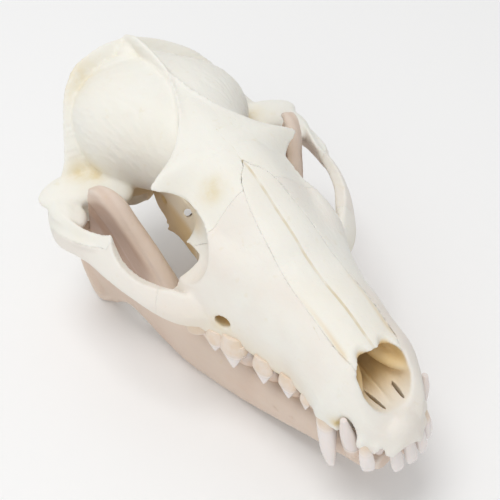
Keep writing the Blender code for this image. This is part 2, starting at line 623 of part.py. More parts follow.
def nasal_block(grow):
    """Wedge that holds the two nasal bones and the air above them."""
    rings = []
    for y in np.arange(9.0, 57.1, 1.5):
        half = along(NASAL_BONES, y) + grow
        top = along(DORSAL_LINE, y)
        low, high = top - NASAL_THICKNESS - grow, top + NASAL_HEADROOM
        corners = ((-half, low), (half, low), (half, high), (-half, high))
        rings.append([Vector((x, y, z)) for x, z in corners])
    rings[0] = [p - Vector((0, grow, 0)) for p in rings[0]]
    rings[-1] = [p + Vector((0, grow, 0)) for p in rings[-1]]
    return loft("nasal_block", rings)


def cheek_block(grow):
    """Block round the jugal bone: square to the arch in front, a long slant behind."""
    (near_x, near_y), (far_x, far_y) = CHEEK_FRONT
    front = Vector((near_y - far_y, far_x - near_x, 0)).normalized() * grow
    inner, outer = CHEEK_REAR
    rings = [[Vector((near_x, near_y, z)) - front, Vector((far_x, far_y, z)) - front,
              Vector((outer, rear + grow, z)), Vector((inner, rear + grow, z))]
             for z, rear in CHEEK_SLANT]
    return loft("cheek_block", rings, flat_ends=True)


def face_block(grow):
    """Block in front of the seam; growing moves every stretch of the seam back alike."""
    outline = FACE_FRONT + tuple((y + grow, z + FACE_RISE * grow) for y, z in FACE_SEAM)
    return slab("face_block", outline, -HALF_SPAN, HALF_SPAN)


def split_off(whole, name, block):
    """Take the part inside a block off as its own piece, with a thin gap round it."""
    piece = bpy.data.objects.new(name, whole.data.copy())
    bpy.context.scene.collection.objects.link(piece)
    combine(piece, [block(0.0)], "INTERSECT")
    combine(whole, [block(GAP)], "DIFFERENCE")
    keep_largest(piece)
    keep_largest(whole)
    return piece


def build_jaw_bone(name):
    jaw = band(name, [s + (-0.06 * (s[3] - s[2]) / 2,) for s in JAW_BODY])
    forms = [plate("ramus", RAMUS_OUTLINE, RAMUS_THICKNESS, RAMUS_PLACE, RAMUS_LEAN),
             ball("condyle", CONDYLE_CENTRE, CONDYLE_RADII, (0, 0, 6)),
             spike("coronoid_edge", CORONOID_EDGE, (2.2, 2.0, 1.8, 1.7, 1.6, 1.2, 0.6)),
             spike("condyle_neck", ((24.0, 82, 17), (24.2, 86, 21), (24.0, 89, 24.6)), (1.8, 2.2, 2.4)),
             spike("angle_rim", ((25.4, 98.6, 13.0), (25.4, 96.4, 7.6), (24.6, 91, 1.7), (22.8, 85, 4.6)),
                   (1.0, 1.4, 1.7, 1.1))]
    combine(jaw, forms, "UNION")
    combine(jaw, [ball("masseter_hollow", (29.6, 76.5, 27), (5.4, 6.6, 9.5), (0, 9, 0))], "DIFFERENCE")
    return resurface(jaw, JAW_TRIANGLES)


def material(name, colour, roughness=0.55):
    mat = bpy.data.materials.new(name)
    mat.use_nodes = True
    shader = mat.node_tree.nodes["Principled BSDF"]
    shader.inputs["Base Color"].default_value = (*colour, 1)
    shader.inputs["Roughness"].default_value = roughness
    shader.inputs["Metallic"].default_value = 0.0
    return mat


def finish(obj, colour):
    """Move a piece to its place in metres and give it its material."""
    middle = (FRONT + BACK) / 2
    obj.data.transform(Matrix.Scale(MM, 4) @ Matrix.Translation((0, -middle, 0)))
    obj.data.materials.clear()
    obj.data.materials.append(material(obj.name + "_bone", colour))
    return obj


def main():
    clear_scene()
    braincase = build_cranium_bone()
    braincase.name = "braincase"
    cheek_left = split_off(braincase, "zygomatic_left", cheek_block)
    cheek_right = split_off(braincase, "zygomatic_right", lambda grow: flipped(cheek_block(grow)))
    nasals = split_off(braincase, "nasal_bones", nasal_block)
    muzzle = split_off(braincase, "muzzle", face_block)
    upper = tooth_row(UPPER_INCISORS, UPPER_TEETH, UPPER_MOLARS, UPPER_CANINE, True)
    right = [mirrored(tooth) for k, tooth in enumerate(upper) if k != LOST_TOOTH]
    combine(muzzle, upper + right, "UNION")
    keep_largest(muzzle)

    jaw = build_jaw_bone("mandible_left")
    combine(jaw, tooth_row(LOWER_INCISORS, LOWER_TEETH, LOWER_MOLARS, LOWER_CANINE, False), "UNION")
    combine(jaw, [slab("table", BELOW_TABLE, -HALF_SPAN, HALF_SPAN)], "DIFFERENCE")
    keep_largest(jaw)
    other = mirrored(jaw)
    other.name = "mandible_right"
    for bone, colour in ((braincase, (0.86, 0.83, 0.74)), (muzzle, (0.87, 0.83, 0.73)),
                         (nasals, (0.88, 0.85, 0.76)), (cheek_left, (0.87, 0.82, 0.72)),
                         (cheek_right, (0.87, 0.82, 0.72)), (jaw, (0.85, 0.79, 0.70)),
                         (other, (0.85, 0.79, 0.70))):
        finish(bone, colour)


main()
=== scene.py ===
# %% [markdown]
# # The skull of a raccoon dog
#
# A museum shows a skull like this on a table, clean and dry, with its lower jaw closed. The
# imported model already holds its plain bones. This lesson grows finer bones in the same
# places, cuts the openings, carves the seams where bones meet, sets real crowns in the jaws
# and gives bone and enamel their own finishes.
#
# Sizes are in millimetres until a piece is finished. X runs to the animal's left, Y from the
# front of the muzzle backwards, and Z up from the table.

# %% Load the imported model
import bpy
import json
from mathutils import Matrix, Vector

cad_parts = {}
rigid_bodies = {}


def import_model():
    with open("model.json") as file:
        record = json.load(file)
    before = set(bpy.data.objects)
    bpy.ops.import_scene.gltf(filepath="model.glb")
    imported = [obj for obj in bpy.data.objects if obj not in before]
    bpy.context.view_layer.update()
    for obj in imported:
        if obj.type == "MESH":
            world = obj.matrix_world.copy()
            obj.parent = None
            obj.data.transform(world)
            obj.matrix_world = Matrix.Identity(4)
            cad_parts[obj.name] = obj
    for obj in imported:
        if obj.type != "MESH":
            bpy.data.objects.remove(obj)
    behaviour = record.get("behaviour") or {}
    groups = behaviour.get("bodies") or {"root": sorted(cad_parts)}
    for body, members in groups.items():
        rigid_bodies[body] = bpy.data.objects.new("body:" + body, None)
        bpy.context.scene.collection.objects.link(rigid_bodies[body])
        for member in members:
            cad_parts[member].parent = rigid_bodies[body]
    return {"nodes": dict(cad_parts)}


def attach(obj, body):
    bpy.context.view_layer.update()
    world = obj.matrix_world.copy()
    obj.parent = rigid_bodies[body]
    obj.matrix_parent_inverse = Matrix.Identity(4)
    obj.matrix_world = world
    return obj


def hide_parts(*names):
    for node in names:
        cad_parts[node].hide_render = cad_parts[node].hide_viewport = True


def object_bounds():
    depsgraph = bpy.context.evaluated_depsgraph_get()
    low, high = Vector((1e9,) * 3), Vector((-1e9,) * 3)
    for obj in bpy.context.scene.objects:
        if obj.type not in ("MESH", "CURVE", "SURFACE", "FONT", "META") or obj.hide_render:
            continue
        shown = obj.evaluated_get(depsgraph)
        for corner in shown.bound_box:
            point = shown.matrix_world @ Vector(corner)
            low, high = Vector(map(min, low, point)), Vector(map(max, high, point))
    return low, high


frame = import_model()
cad_box = [list(corner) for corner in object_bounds()]

import json
import math

import bmesh
import bpy
import numpy as np
from mathutils import Matrix, Vector, noise

print("bones in the packed model:", sorted(frame["nodes"]))
print("its box:", cad_box)

# %% [markdown]
# ## Sizes and profiles
#
# A skull is easier to describe by a few profiles than by points: how wide and how high it is
# at some places along its length. A smooth curve through each short list fills in the rest.
# at some places along its length. A smooth curve through each short list fills in the rest.
# Each pair is a place along Y and the profile's value there.

# %% Profiles of the muzzle
MM = 0.001
FRONT = -1.4
BACK = 114.2
MIDDLE = (FRONT + BACK) / 2

DORSAL_LINE = ((-1, 25.2), (2.2, 28.4), (12, 39.6), (15, 40.6), (21, 42.4), (28, 43.6),
               (34, 45.5), (38, 47.7), (44, 50.1), (53, 53.8), (62, 55.6), (70, 56.6),
               (80, 57.8), (92, 60.2), (100, 60.8), (106, 60.0), (111, 58.0))
ALVEOLAR_WIDTH = ((-1, 3.0), (1.0, 5.2), (4, 7.8), (8, 9.6), (13, 10.9), (18, 10.8), (23, 10.9),
                  (29, 12.6), (36, 14.2), (41, 16.6), (46, 19.0), (52, 20.4), (57, 19.5), (62, 15))
ALVEOLAR_HEIGHT = ((-1, 21.0), (3, 21.6), (8, 23.0), (13, 23.0), (30, 23.6), (46, 23.6),
                   (56, 24.6), (62, 27))
WALL_WIDTH = ((-1, 2.6), (1.0, 4.8), (4, 7.6), (8, 9.6), (13, 11.1), (18, 11.2), (24, 11.4),
              (30, 12.6), (36, 14.0), (42, 16.4), (48, 18.2), (54, 17.0), (62, 12))
CHEEK_WIDTH = ((-1, 2.2), (1.0, 4.4), (4, 7.2), (8, 8.6), (12, 9.1), (18, 9.3), (24, 9.9),
               (30, 10.6), (38, 12.2), (44, 14.4), (52, 14.0), (62, 12))
NASAL_WIDTH = ((-1, 1.8), (1.0, 4.0), (4, 6.4), (8, 6.7), (12, 6.3), (18, 6.4), (28, 6.6),
               (36, 7.4), (44, 9.6), (52, 11.4), (62, 11.8))
NASAL_DROP = ((-1, 0.6), (10, 0.8), (14, 1.6), (28, 1.4), (36, 2.2), (44, 4.2), (52, 6.2), (62, 6.0))

print("length of the skull by its profiles:", BACK - FRONT, "mm")

# %% Profiles of the forehead and the braincase
RIM_WIDTH = ((48, 13.0), (52, 12.4), (57, 12.0), (60, 12.6), (62, 14.4), (63.6, 17.0),
             (64.6, 18.2), (66, 15.4), (68, 11.6), (71, 8.4), (76, 5.0), (82, 2.4), (88, 0.9))
RIM_HEIGHT = ((48, 43.6), (52, 45.2), (57, 47.4), (61, 48.8), (64.4, 50.4), (66, 51.8), (68, 53.2),
              (71, 54.8), (76, 56.6), (82, 58.2), (88, 59.8))
ORBIT_WALL = ((48, 9.4), (57, 9.2), (66, 7.8), (74, 6.0), (82, 1.6), (88, 0.7))
FOREHEAD_FLOOR = ((48, 32), (60, 33.5), (70, 37), (76, 48), (88, 57))
BRAIN_WIDTH = ((66, 7.0), (71, 9.4), (74, 10.6), (78, 13.0), (82, 16.0), (87, 19.2), (92, 21.0),
               (97, 21.4), (102, 20.0), (106, 17.0), (109, 14.0), (111, 10.0))
BRAIN_TOP = ((66, 54.0), (74, 55.6), (80, 57.0), (87, 58.4), (94, 58.8), (100, 57.8),
             (105, 55.8), (108, 53.6), (111, 49.6))
BRAIN_FLOOR = ((66, 38.5), (74, 35.6), (82, 33.4), (90, 32.4), (100, 32.2), (108, 33.6), (111, 37))
BRAIN_MIDDLE = ((66, 46), (80, 44.5), (95, 43.5), (111, 42))
BRAIN_TILT = 0.17

print("widest place of the braincase:", 2 * max(width for _, width in BRAIN_WIDTH), "mm")

# %% [markdown]
# ## Tools for solid forms
#
# Bone has no straight edges, so the forms are lofts: a row of rings with a skin over them. A
# band is a loft with an upright oval section, for the cheek arch. A spike follows a curve and
# gets thinner. Each is closed, which lets a Boolean fuse them later.

# %% Smooth curves
def along(knots, place):
    """Value of a profile at a place, on a smooth curve through its few knots."""
    xs = np.array([k[0] for k in knots], float)
    ys = np.array([k[1] for k in knots], float)
    step = np.diff(xs)
    slope = np.diff(ys) / step
    tangent = np.zeros_like(ys)
    tangent[1:-1] = [0 if a * b <= 0 else 2 * a * b / (a + b) for a, b in zip(slope[:-1], slope[1:])]
    tangent[0], tangent[-1] = slope[0], slope[-1]
    place = min(max(place, xs[0]), xs[-1])
    i = min(max(int(np.searchsorted(xs, place)) - 1, 0), len(step) - 1)
    t = (place - xs[i]) / step[i]
    a, b = ys[i], ys[i + 1]
    ta, tb = tangent[i] * step[i], tangent[i + 1] * step[i]
    return float(a + t * ta + t * t * (3 * (b - a) - 2 * ta - tb) + t ** 3 * (2 * (a - b) + ta + tb))


def curve_through(points, per_span, closed=False):
    """Points on a smooth curve through the given ones."""
    pts = [Vector(p) for p in points]
    n = len(pts)
    result = []
    for i in range(n if closed else n - 1):
        if closed:
            a, b, c, d = (pts[(i + k) % n] for k in (-1, 0, 1, 2))
        else:
            b, c = pts[i], pts[i + 1]
            a = pts[i - 1] if i > 0 else b * 2 - c
            d = pts[i + 2] if i + 2 < n else c * 2 - b
        for k in range(per_span):
            t = k / per_span
            result.append(0.5 * (2 * b + (c - a) * t + (2 * a - 5 * b + 4 * c - d) * t * t
                                 + (3 * b - a - 3 * c + d) * t ** 3))
    if not closed:
        result.append(pts[-1].copy())
    return result


def circle_steps(sides):
    return [2 * math.pi * k / sides for k in range(sides)]


def ramp(values, low, high):
    """0 below low, 1 above high, smooth between."""
    t = np.clip((values - low) / (high - low), 0, 1)
    return t * t * (3 - 2 * t)


print("height of the forehead line at 60 mm:", round(along(DORSAL_LINE, 60), 1), "mm")


# %% Rings and lofts
def squared(value, power):
    """A sine or cosine raised to a power, with its sign kept: below 1 it squares a circle."""
    return math.copysign(abs(value) ** power, value)


def linked(name, data):
    """New object in the scene that holds a mesh, a lamp or a camera."""
    obj = bpy.data.objects.new(name, data)
    bpy.context.scene.collection.objects.link(obj)
    return obj


def new_object(name, verts, faces):
    mesh = bpy.data.meshes.new(name)
    mesh.from_pydata([tuple(v) for v in verts], [], faces)
    bm = bmesh.new()
    bm.from_mesh(mesh)
    bmesh.ops.recalc_face_normals(bm, faces=bm.faces)
    bm.to_mesh(mesh)
    bm.free()
    return linked(name, mesh)


def loft(name, rings, flat_ends=False):
    """Closed skin over a row of rings that all have the same number of points."""
    count = len(rings[0])
    verts = [p for ring in rings for p in ring]
    faces = []
    for r in range(len(rings) - 1):
        for k in range(count):
            a, b = r * count + k, r * count + (k + 1) % count
            faces.append((a, b, b + count, a + count))
    for r in (0, len(rings) - 1):
        ring = range(r * count, (r + 1) * count)
        if flat_ends:
            faces.append(tuple(ring))
            continue
        verts.append(sum((Vector(p) for p in rings[r]), Vector()) / count)
        last = len(verts) - 1
        faces += [(r * count + (k + 1) % count, r * count + k, last) for k in range(count)]
    return new_object(name, verts, faces)


print("steps round a ring of eight:", [round(a, 2) for a in circle_steps(8)])


# %% Balls and spikes
BALL_DETAIL = 5
SPAN_STEPS = 8
ACROSS = Vector((1, 0, 0))


def ball(name, centre, radii, turn=(0, 0, 0)):
    """Ellipsoid with its radii along X, Y and Z, then turned, in degrees."""
    bm = bmesh.new()
    bmesh.ops.create_icosphere(bm, subdivisions=BALL_DETAIL, radius=1)
    spin = Matrix.Rotation(math.radians(turn[2]), 4, "Z")
    spin @= Matrix.Rotation(math.radians(turn[1]), 4, "Y") @ Matrix.Rotation(math.radians(turn[0]), 4, "X")
    place = Matrix.Translation(Vector(centre)) @ spin @ Matrix.Diagonal((*radii, 1))
    bmesh.ops.transform(bm, matrix=place, verts=bm.verts)
    mesh = bpy.data.meshes.new(name)
    bm.to_mesh(mesh)
    bm.free()
    return linked(name, mesh)


def spike(name, points, radii, sides=20, per_span=SPAN_STEPS, flat=1.0):
    """Round or flattened cone that follows a curve. flat scales it across the bend."""
    path = curve_through(points, per_span)
    knots = [(i, r) for i, r in enumerate(radii)]
    rings = []
    for i, p in enumerate(path):
        ahead = path[min(i + 1, len(path) - 1)] - path[max(i - 1, 0)]
        ahead.normalize()
        side = (ACROSS - ahead * ACROSS.dot(ahead)).normalized()
        up = ahead.cross(side)
        r = along(knots, i / per_span)
        rings.append([p + side * (r * flat * math.cos(a)) + up * (r * math.sin(a))
                      for a in circle_steps(sides)])
    return loft(name, rings)


print("faces of a ball:", 20 * 4 ** (BALL_DETAIL - 1))

# %% Bands, plates, slabs and mirrored forms
BAND_SIDES = 40
PLATE_LAYERS = ((-0.5, 1), (-0.2, 0), (0.2, 0), (0.5, 1))
PLATE_STEPS = 6
LEAN_LEVEL = 15


def band(name, stations, squareness=2.6, pinch=0.0):
    """Bar with an upright oval section: x, y, lower edge, upper edge, half thickness, lean.

    pinch makes the upper half thinner, up to a sharp rim at 1."""
    path = curve_through([s[:3] for s in stations], SPAN_STEPS)
    rings = []
    for i, p in enumerate(path):
        u = i / SPAN_STEPS
        top, half, lean = (along([(k, s[c]) for k, s in enumerate(stations)], u) for c in (3, 4, 5))
        ahead = path[min(i + 1, len(path) - 1)] - path[max(i - 1, 0)]
        ahead.z = 0
        ahead.normalize()
        side = Vector((-ahead.y, ahead.x, 0))
        if side.x > 0:
            side = -side
        middle = Vector((p.x, p.y, (p.z + top) / 2))
        ring = []
        for a in circle_steps(BAND_SIDES):
            rise = squared(math.sin(a), 2 / squareness)
            across = squared(math.cos(a), 2 / squareness) * (1 - pinch * max(rise, 0))
            ring.append(middle + side * (half * across + lean * rise)
                        + Vector((0, 0, (top - p.z) / 2 * rise)))
        rings.append(ring)
    return loft(name, rings)


def plate(name, outline, thickness, place, lean, edge=0.8):
    """Upright plate with rounded edges from a side outline, bent and leaning outwards."""
    ring = curve_through([(0, y, z) for y, z in outline], PLATE_STEPS, closed=True)
    count = len(ring)
    area = sum(ring[k - 1].y * ring[k].z - ring[k].y * ring[k - 1].z for k in range(count))
    winding = -1 if area > 0 else 1
    rings = []
    for x, rounded in PLATE_LAYERS:
        layer = []
        for k, p in enumerate(ring):
            ahead = ring[(k + 1) % count] - ring[k - 1]
            inwards = Vector((0, -ahead.z, ahead.y)).normalized()
            q = p - inwards * (edge * rounded) * winding
            layer.append(Vector((x * thickness + along(place, q.y) + lean * (q.z - LEAN_LEVEL), q.y, q.z)))
        rings.append(layer)
    return loft(name, rings, flat_ends=True)


def slab(name, outline, near, far):
    """Block with a given side outline (y, z) that reaches from one x to another."""
    rings = [[Vector((x, y, z)) for y, z in outline] for x in (near, far)]
    return loft(name, rings, flat_ends=True)


def mirrored(obj):
    """Copy of a form on the other side of the middle plane."""
    mesh = obj.data.copy()
    mesh.transform(Matrix.Diagonal((-1, 1, 1, 1)))
    mesh.flip_normals()
    return linked(obj.name + "_mirrored", mesh)


def flipped(obj):
    """The mirrored form alone."""
    twin = mirrored(obj)
    bpy.data.objects.remove(obj, do_unlink=True)
    return twin


def in_pairs(*forms):
    """Each form, followed by its mirrored twin."""
    return [twin for form in forms for twin in (form, mirrored(form))]


print("points round a band:", BAND_SIDES)

# %% [markdown]
# ## Fusing and softening
#
# Separate forms look like toys until they flow into each other. A Boolean union first joins
# them, and a Boolean difference cuts the openings. Then a voxel remesh gives one even skin,
# and a short smoothing rounds each place where two forms met. Bone grows in just that way.

# %% Boolean, remesh and clean
CRANIUM_VOXEL = 0.44
JAW_VOXEL = 0.4
BONE_ROUNDS = 4
SOFTENING = 0.5


def bake(obj):
    """Replace an object's mesh by what its modifiers make of it."""
    bpy.context.view_layer.update()
    graph = bpy.context.evaluated_depsgraph_get()
    mesh = bpy.data.meshes.new_from_object(obj.evaluated_get(graph))
    obj.modifiers.clear()
    old = obj.data
    obj.data = mesh
    bpy.data.meshes.remove(old)
    return obj


def combine(obj, others, operation):
    """Union of an object with closed meshes, or those meshes cut out of it."""
    group = bpy.data.collections.new("boolean_pieces")
    bpy.context.scene.collection.children.link(group)
    for other in others:
        group.objects.link(other)
    step = obj.modifiers.new("combine", "BOOLEAN")
    step.operation = operation
    step.operand_type = "COLLECTION"
    step.collection = group
    step.solver = "MANIFOLD"
    bake(obj)
    for other in others:
        bpy.data.objects.remove(other, do_unlink=True)
    bpy.data.collections.remove(group)
    return obj


def keep_largest(obj):
    """Drop every closed surface but the largest."""
    bm = bmesh.new()
    bm.from_mesh(obj.data)
    unseen = set(bm.verts)
    shells = []
    while unseen:
        front = [unseen.pop()]
        shell = list(front)
        while front:
            vert = front.pop()
            for edge in vert.link_edges:
                other = edge.other_vert(vert)
                if other in unseen:
                    unseen.remove(other)
                    front.append(other)
                    shell.append(other)
        shells.append(shell)
    shells.sort(key=len, reverse=True)
    for shell in shells[1:]:
        bmesh.ops.delete(bm, geom=shell, context="VERTS")
    bm.to_mesh(obj.data)
    bm.free()
    return obj


def resurface(obj, voxel, rounds=BONE_ROUNDS):
    """Even skin over the fused forms, softened where they meet."""
    remesh = obj.modifiers.new("remesh", "REMESH")
    remesh.mode = "VOXEL"
    remesh.voxel_size = voxel
    soften = obj.modifiers.new("soften", "SMOOTH")
    soften.factor = SOFTENING
    soften.iterations = rounds
    bake(obj)
    return keep_largest(obj)


print("voxel of the cranium:", CRANIUM_VOXEL, "mm")

# %% [markdown]
# ## The cranium
#
# The muzzle is a long loft whose section has a palate, a tooth margin, a wall and a nasal
# roof. Behind it comes the forehead between the orbits, and then the round braincase. The
# left and right of a real skull are never quite even, so the braincase tilts a little.

# %% Sections of muzzle and forehead
RING_STEPS = 5
PALATE = ((0, 2.6, 0.35), (0.62, 1.6, 0.2), (0.92, 0, 0))
MUZZLE_WALL = ((ALVEOLAR_WIDTH, 0.12), (WALL_WIDTH, 0.42), (CHEEK_WIDTH, 0.74))
NASAL_ROOF = ((1, 1), (0.5, 0.18))


def whole_ring(half, y):
    """Ring across the skull from the points of its left half."""
    points = half + [(-x, z) for x, z in half[-2:0:-1]]
    return curve_through([(x, y, z) for x, z in points], RING_STEPS, closed=True)


def muzzle_ring(y):
    """Section of the muzzle: palate, tooth margin, wall, cheek, nasal shoulder, top."""
    top = along(DORSAL_LINE, y)
    margin = along(ALVEOLAR_HEIGHT, y)
    wide = along(ALVEOLAR_WIDTH, y)
    rise = top - margin
    half = [(wide * share, margin + min(most, part * rise)) for share, most, part in PALATE]
    half += [(along(profile, y), margin + part * rise) for profile, part in MUZZLE_WALL]
    half += [(along(NASAL_WIDTH, y) * share, top - part * along(NASAL_DROP, y)) for share, part in NASAL_ROOF]
    return whole_ring(half + [(0, top)], y)


def forehead_ring(y):
    """Section between the orbits: floor, orbit wall, rim or temporal ridge, top."""
    top = along(DORSAL_LINE, y)
    rim, height = along(RIM_WIDTH, y), along(RIM_HEIGHT, y)
    wall, floor = along(ORBIT_WALL, y), along(FOREHEAD_FLOOR, y)
    half = [(0, floor), (wall * 0.9, floor + 0.5), (wall, floor + 0.5 * (height - floor)),
            (wall + 0.35 * (rim - wall), height - 2.6), (rim - 0.3, height - 0.6),
            (rim - 0.5, height + 0.5), (rim * 0.62, height + 0.62 * (top - height)), (0, top)]
    return whole_ring(half, y)


print("points round the muzzle:", len(muzzle_ring(20)))

# %% Section and tilt of the braincase
BRAIN_SIDES = 72
DOME_SQUARENESS = 2.25
BASE_SQUARENESS = 2.6
TILT_START = (76, 34)
TILT_RANGE = (26, 14)


def brain_ring(y):
    """Rounded section of the braincase."""
    wide, middle = along(BRAIN_WIDTH, y), along(BRAIN_MIDDLE, y)
    top, floor = along(BRAIN_TOP, y), along(BRAIN_FLOOR, y)
    ring = []
    for a in circle_steps(BRAIN_SIDES):
        above = math.sin(a) > 0
        power = 2 / (DOME_SQUARENESS if above else BASE_SQUARENESS)
        rise = top - middle if above else middle - floor
        ring.append(Vector((wide * squared(math.cos(a), power), y,
                            middle + rise * squared(math.sin(a), power))))
    return ring


def tilted(obj):
    """Lower the left of the braincase a little and raise its right."""
    for vert in obj.data.vertices:
        share = 1.0
        for value, start, reach in zip(vert.co.yz, TILT_START, TILT_RANGE):
            share *= min(max((value - start) / reach, 0), 1)
        vert.co.z -= BRAIN_TILT * vert.co.x * share
    return obj


print("points round the braincase:", len(brain_ring(90)))

# %% Crest over the back of the skull
NUCHAL_CREST = ((0, 111.4, 58.5), (6, 110.8, 57.6), (11, 109.6, 56.1), (16, 107.5, 54.0),
                (20.2, 103.8, 50.2), (23.2, 100.0, 45.2), (25.6, 96.6, 40.4), (28.2, 94.2, 37.4))
CREST_CENTRE = Vector((0, 100, 44))
CREST_REACH = 3.4
CREST_THICKNESS = 1.1
CREST_SIDES = 24


def nuchal_crest():
    """Thin raised crest that runs over the back of the skull from ear to ear."""
    left = curve_through(NUCHAL_CREST, SPAN_STEPS)
    path = [Vector((-p.x, p.y, p.z)) for p in reversed(left[1:])] + left
    rings = []
    for i, p in enumerate(path):
        ahead = (path[min(i + 1, len(path) - 1)] - path[max(i - 1, 0)]).normalized()
        out = p - CREST_CENTRE
        out = (out - ahead * out.dot(ahead)).normalized()
        across = ahead.cross(out)
        middle = p - out * CREST_REACH
        rings.append([middle + out * (CREST_REACH * math.cos(a)) + across * (CREST_THICKNESS * math.sin(a))
                      for a in circle_steps(CREST_SIDES)])
    return loft("nuchal_crest", rings)


print("places on the crest:", len(NUCHAL_CREST))

# %% [markdown]
# The rest of the cranium is made of small forms: the arch of the cheek with its ridge, the
# thin bony sheet inside the orbit, the shelf where the arch leaves the braincase, the roots
# of teeth that swell the bone, and the ear capsules and knobs underneath.

# %% Places of the smaller forms
RING_STEP = 0.8
BRAIN_STEP = 0.9
CHEEK_ARCH = ((15.0, 46.0, 25.0, 33.0, 3.4, 0.0),
              (20.5, 49.0, 25.8, 33.4, 2.8, 0.4),
              (24.6, 54.0, 27.8, 34.2, 2.1, 1.0),
              (27.0, 59.5, 30.0, 37.8, 1.7, 1.8),
              (28.4, 65.0, 31.0, 40.6, 1.5, 2.4),
              (30.0, 70.5, 31.0, 38.2, 1.5, 1.6),
              (31.8, 77.0, 30.0, 37.0, 1.6, 1.0),
              (33.2, 84.0, 28.4, 37.4, 1.8, 0.8),
              (31.8, 89.6, 28.6, 38.0, 2.2, 0.4),
              (28.0, 92.6, 30.2, 37.6, 2.6, 0.0),
              (22.0, 93.4, 31.0, 37.0, 3.0, 0.0),
              (16.0, 93.0, 32.0, 37.0, 3.0, 0.0))
ORBIT_LAMINA = ((54, 40), (54, 28), (61, 26.3), (66, 26.5), (70.8, 26.7), (75.5, 25.6), (79.8, 23.7),
                (78.6, 26.2), (80.6, 27.7), (84.0, 28.2), (86.5, 32), (84, 37), (70, 42))
LAMINA_PLACE = ((54, 9.8), (66, 9.3), (76, 9.0), (87, 8.4))
ROOT_SHELF = (((24.6, 91.0, 36.4), (10.5, 6.0, 2.6)), ((31.4, 86.2, 35.6), (3.0, 6.4, 1.9)),
              ((19.0, 86.5, 36.5), (5.0, 6.5, 2.6)))
INCISOR_ROOTS = ((1.9, 1.5, 22.8), (5.0, 2.2, 23.0), (7.0, 4.4, 23.8))
ARCH_RIDGE = ((33.9, 88.0, 33.0), (34.3, 84.0, 33.2), (33.5, 79.0, 33.8), (32.2, 74.0, 35.0),
              (30.6, 69.5, 36.2))
LAMINA_THICKNESS = 1.1
SAGITTAL_CREST = ((0, 84, 57.0), (0, 94, 59.2), (0, 104, 59.4), (0, 111, 57.6))
POSTGLENOID = ((21.5, 93.6, 32), (21.5, 94.0, 29.0), (21.2, 94.0, 26.4))
PAROCCIPITAL = ((15.6, 104, 36), (15.2, 104.6, 30), (14.8, 105, 25.2))
PTERYGOID = ((8.6, 56, 29), (8.2, 64, 30.2), (7.4, 72, 30.6), (7.2, 79, 29.0))
HAMULUS = ((7.2, 77, 28), (7.4, 80, 25.2), (7.8, 82.6, 23.6))
SKULL_BASE = ((0, 66, 36, 42, 6.5, 0), (0, 76, 33, 42, 6.0, 0), (0, 88, 31.4, 42, 7.0, 0),
              (0, 100, 31.0, 42, 9.0, 0), (0, 110, 32.6, 42, 9.0, 0))

print("stations along the cheek arch:", len(CHEEK_ARCH))


# %% Fuse the cranium
def cranium_forms():
    single = [loft("forehead", [forehead_ring(y) for y in np.arange(48, 88.1, RING_STEP)]),
              tilted(loft("brain", [brain_ring(y) for y in np.arange(66, 111.1, BRAIN_STEP)])),
              tilted(nuchal_crest()),
              tilted(ball("occiput", (0, 103.5, 49.6), (14.0, 7.4, 7.6))),
              spike("sagittal_crest", SAGITTAL_CREST, (1.2, 1.8, 1.9, 1.6), flat=0.5),
              ball("front_margin", (0, 2.2, 25.0), (4.4, 2.9, 4.2)),
              tilted(ball("crest_corner", (-0.8, 107.0, 56.2), (3.4, 3.4, 2.2)))]
    arch = [band("cheek_arch", CHEEK_ARCH, pinch=0.5),
            spike("arch_ridge", ARCH_RIDGE, (0.5, 0.8, 0.9, 0.8, 0.4)),
            plate("orbit_lamina", ORBIT_LAMINA, LAMINA_THICKNESS, LAMINA_PLACE, 0.0, edge=0.3),
            ball("glenoid", (23.6, 90.8, 32.0), (8.6, 5.2, 4.0)),
            *[ball("root_shelf", place, radii) for place, radii in ROOT_SHELF]]
    roots = [ball("canine_bulge", (9.7, 13.4, 27.0), (1.9, 2.7, 5.4), (14, 0, 0)),
             *[ball("incisor_bulge", place, (1.5, 1.2, 2.6)) for place in INCISOR_ROOTS]]
    rear = [ball("shelf_corner", (30.4, 83.8, 35.2), (3.4, 4.8, 1.7)),
            spike("postglenoid", POSTGLENOID, (2.6, 1.7, 0.8), flat=1.8),
            ball("bulla", (11.6, 95.0, 30.6), (6.2, 8.4, 6.0), (0, 0, -14)),
            spike("paroccipital", PAROCCIPITAL, (3.2, 2.4, 0.8)),
            ball("mastoid", (20.4, 99.4, 36.0), (4.2, 4.4, 4.6)),
            ball("occipital_condyle", (6.8, 110.4, 35.6), (3.9, 3.8, 4.4), (0, 0, 24)),
            spike("pterygoid", PTERYGOID, (3.6, 4.6, 5.0, 3.8), flat=0.3),
            spike("hamulus", HAMULUS, (1.6, 1.2, 0.5), flat=0.7)]
    return single + in_pairs(*arch, *roots, *rear) + [band("skull_base", SKULL_BASE, squareness=3.4)]


braincase = loft("braincase_bone", [muzzle_ring(y) for y in np.arange(-0.8, 62.1, RING_STEP)])
combine(braincase, cranium_forms(), "UNION")
print("faces of the fused cranium:", len(braincase.data.polygons))

# %% [markdown]
# ## Openings
#
# The nose is a pocket with a ridge on its floor and a thin scroll of bone along each side.
# The orbits, the ear holes, the nerve openings, the hole for the spinal cord and the empty
# socket of a lost tooth are cut with balls and spikes, and the jaw's joints with bigger
# copies of its condyles. All of it happens before the remesh, which then rounds each rim.

# %% Pocket of the nose
CAVITY_WIDTH = ((-4, 5.0), (3, 5.6), (12, 5.4), (20, 4.6), (26, 2.4), (28, 0.8))
CAVITY_FLOOR = ((-4, 29.2), (18, 29.2), (28, 30.8))
CAVITY_ROOF = ((-4, 46.6), (12, 38.6), (12.5, 37.9), (15, 38.8), (21, 40.6), (28, 41.8))
CAVITY_SIDES = 48
CAVITY_POWER = 0.8


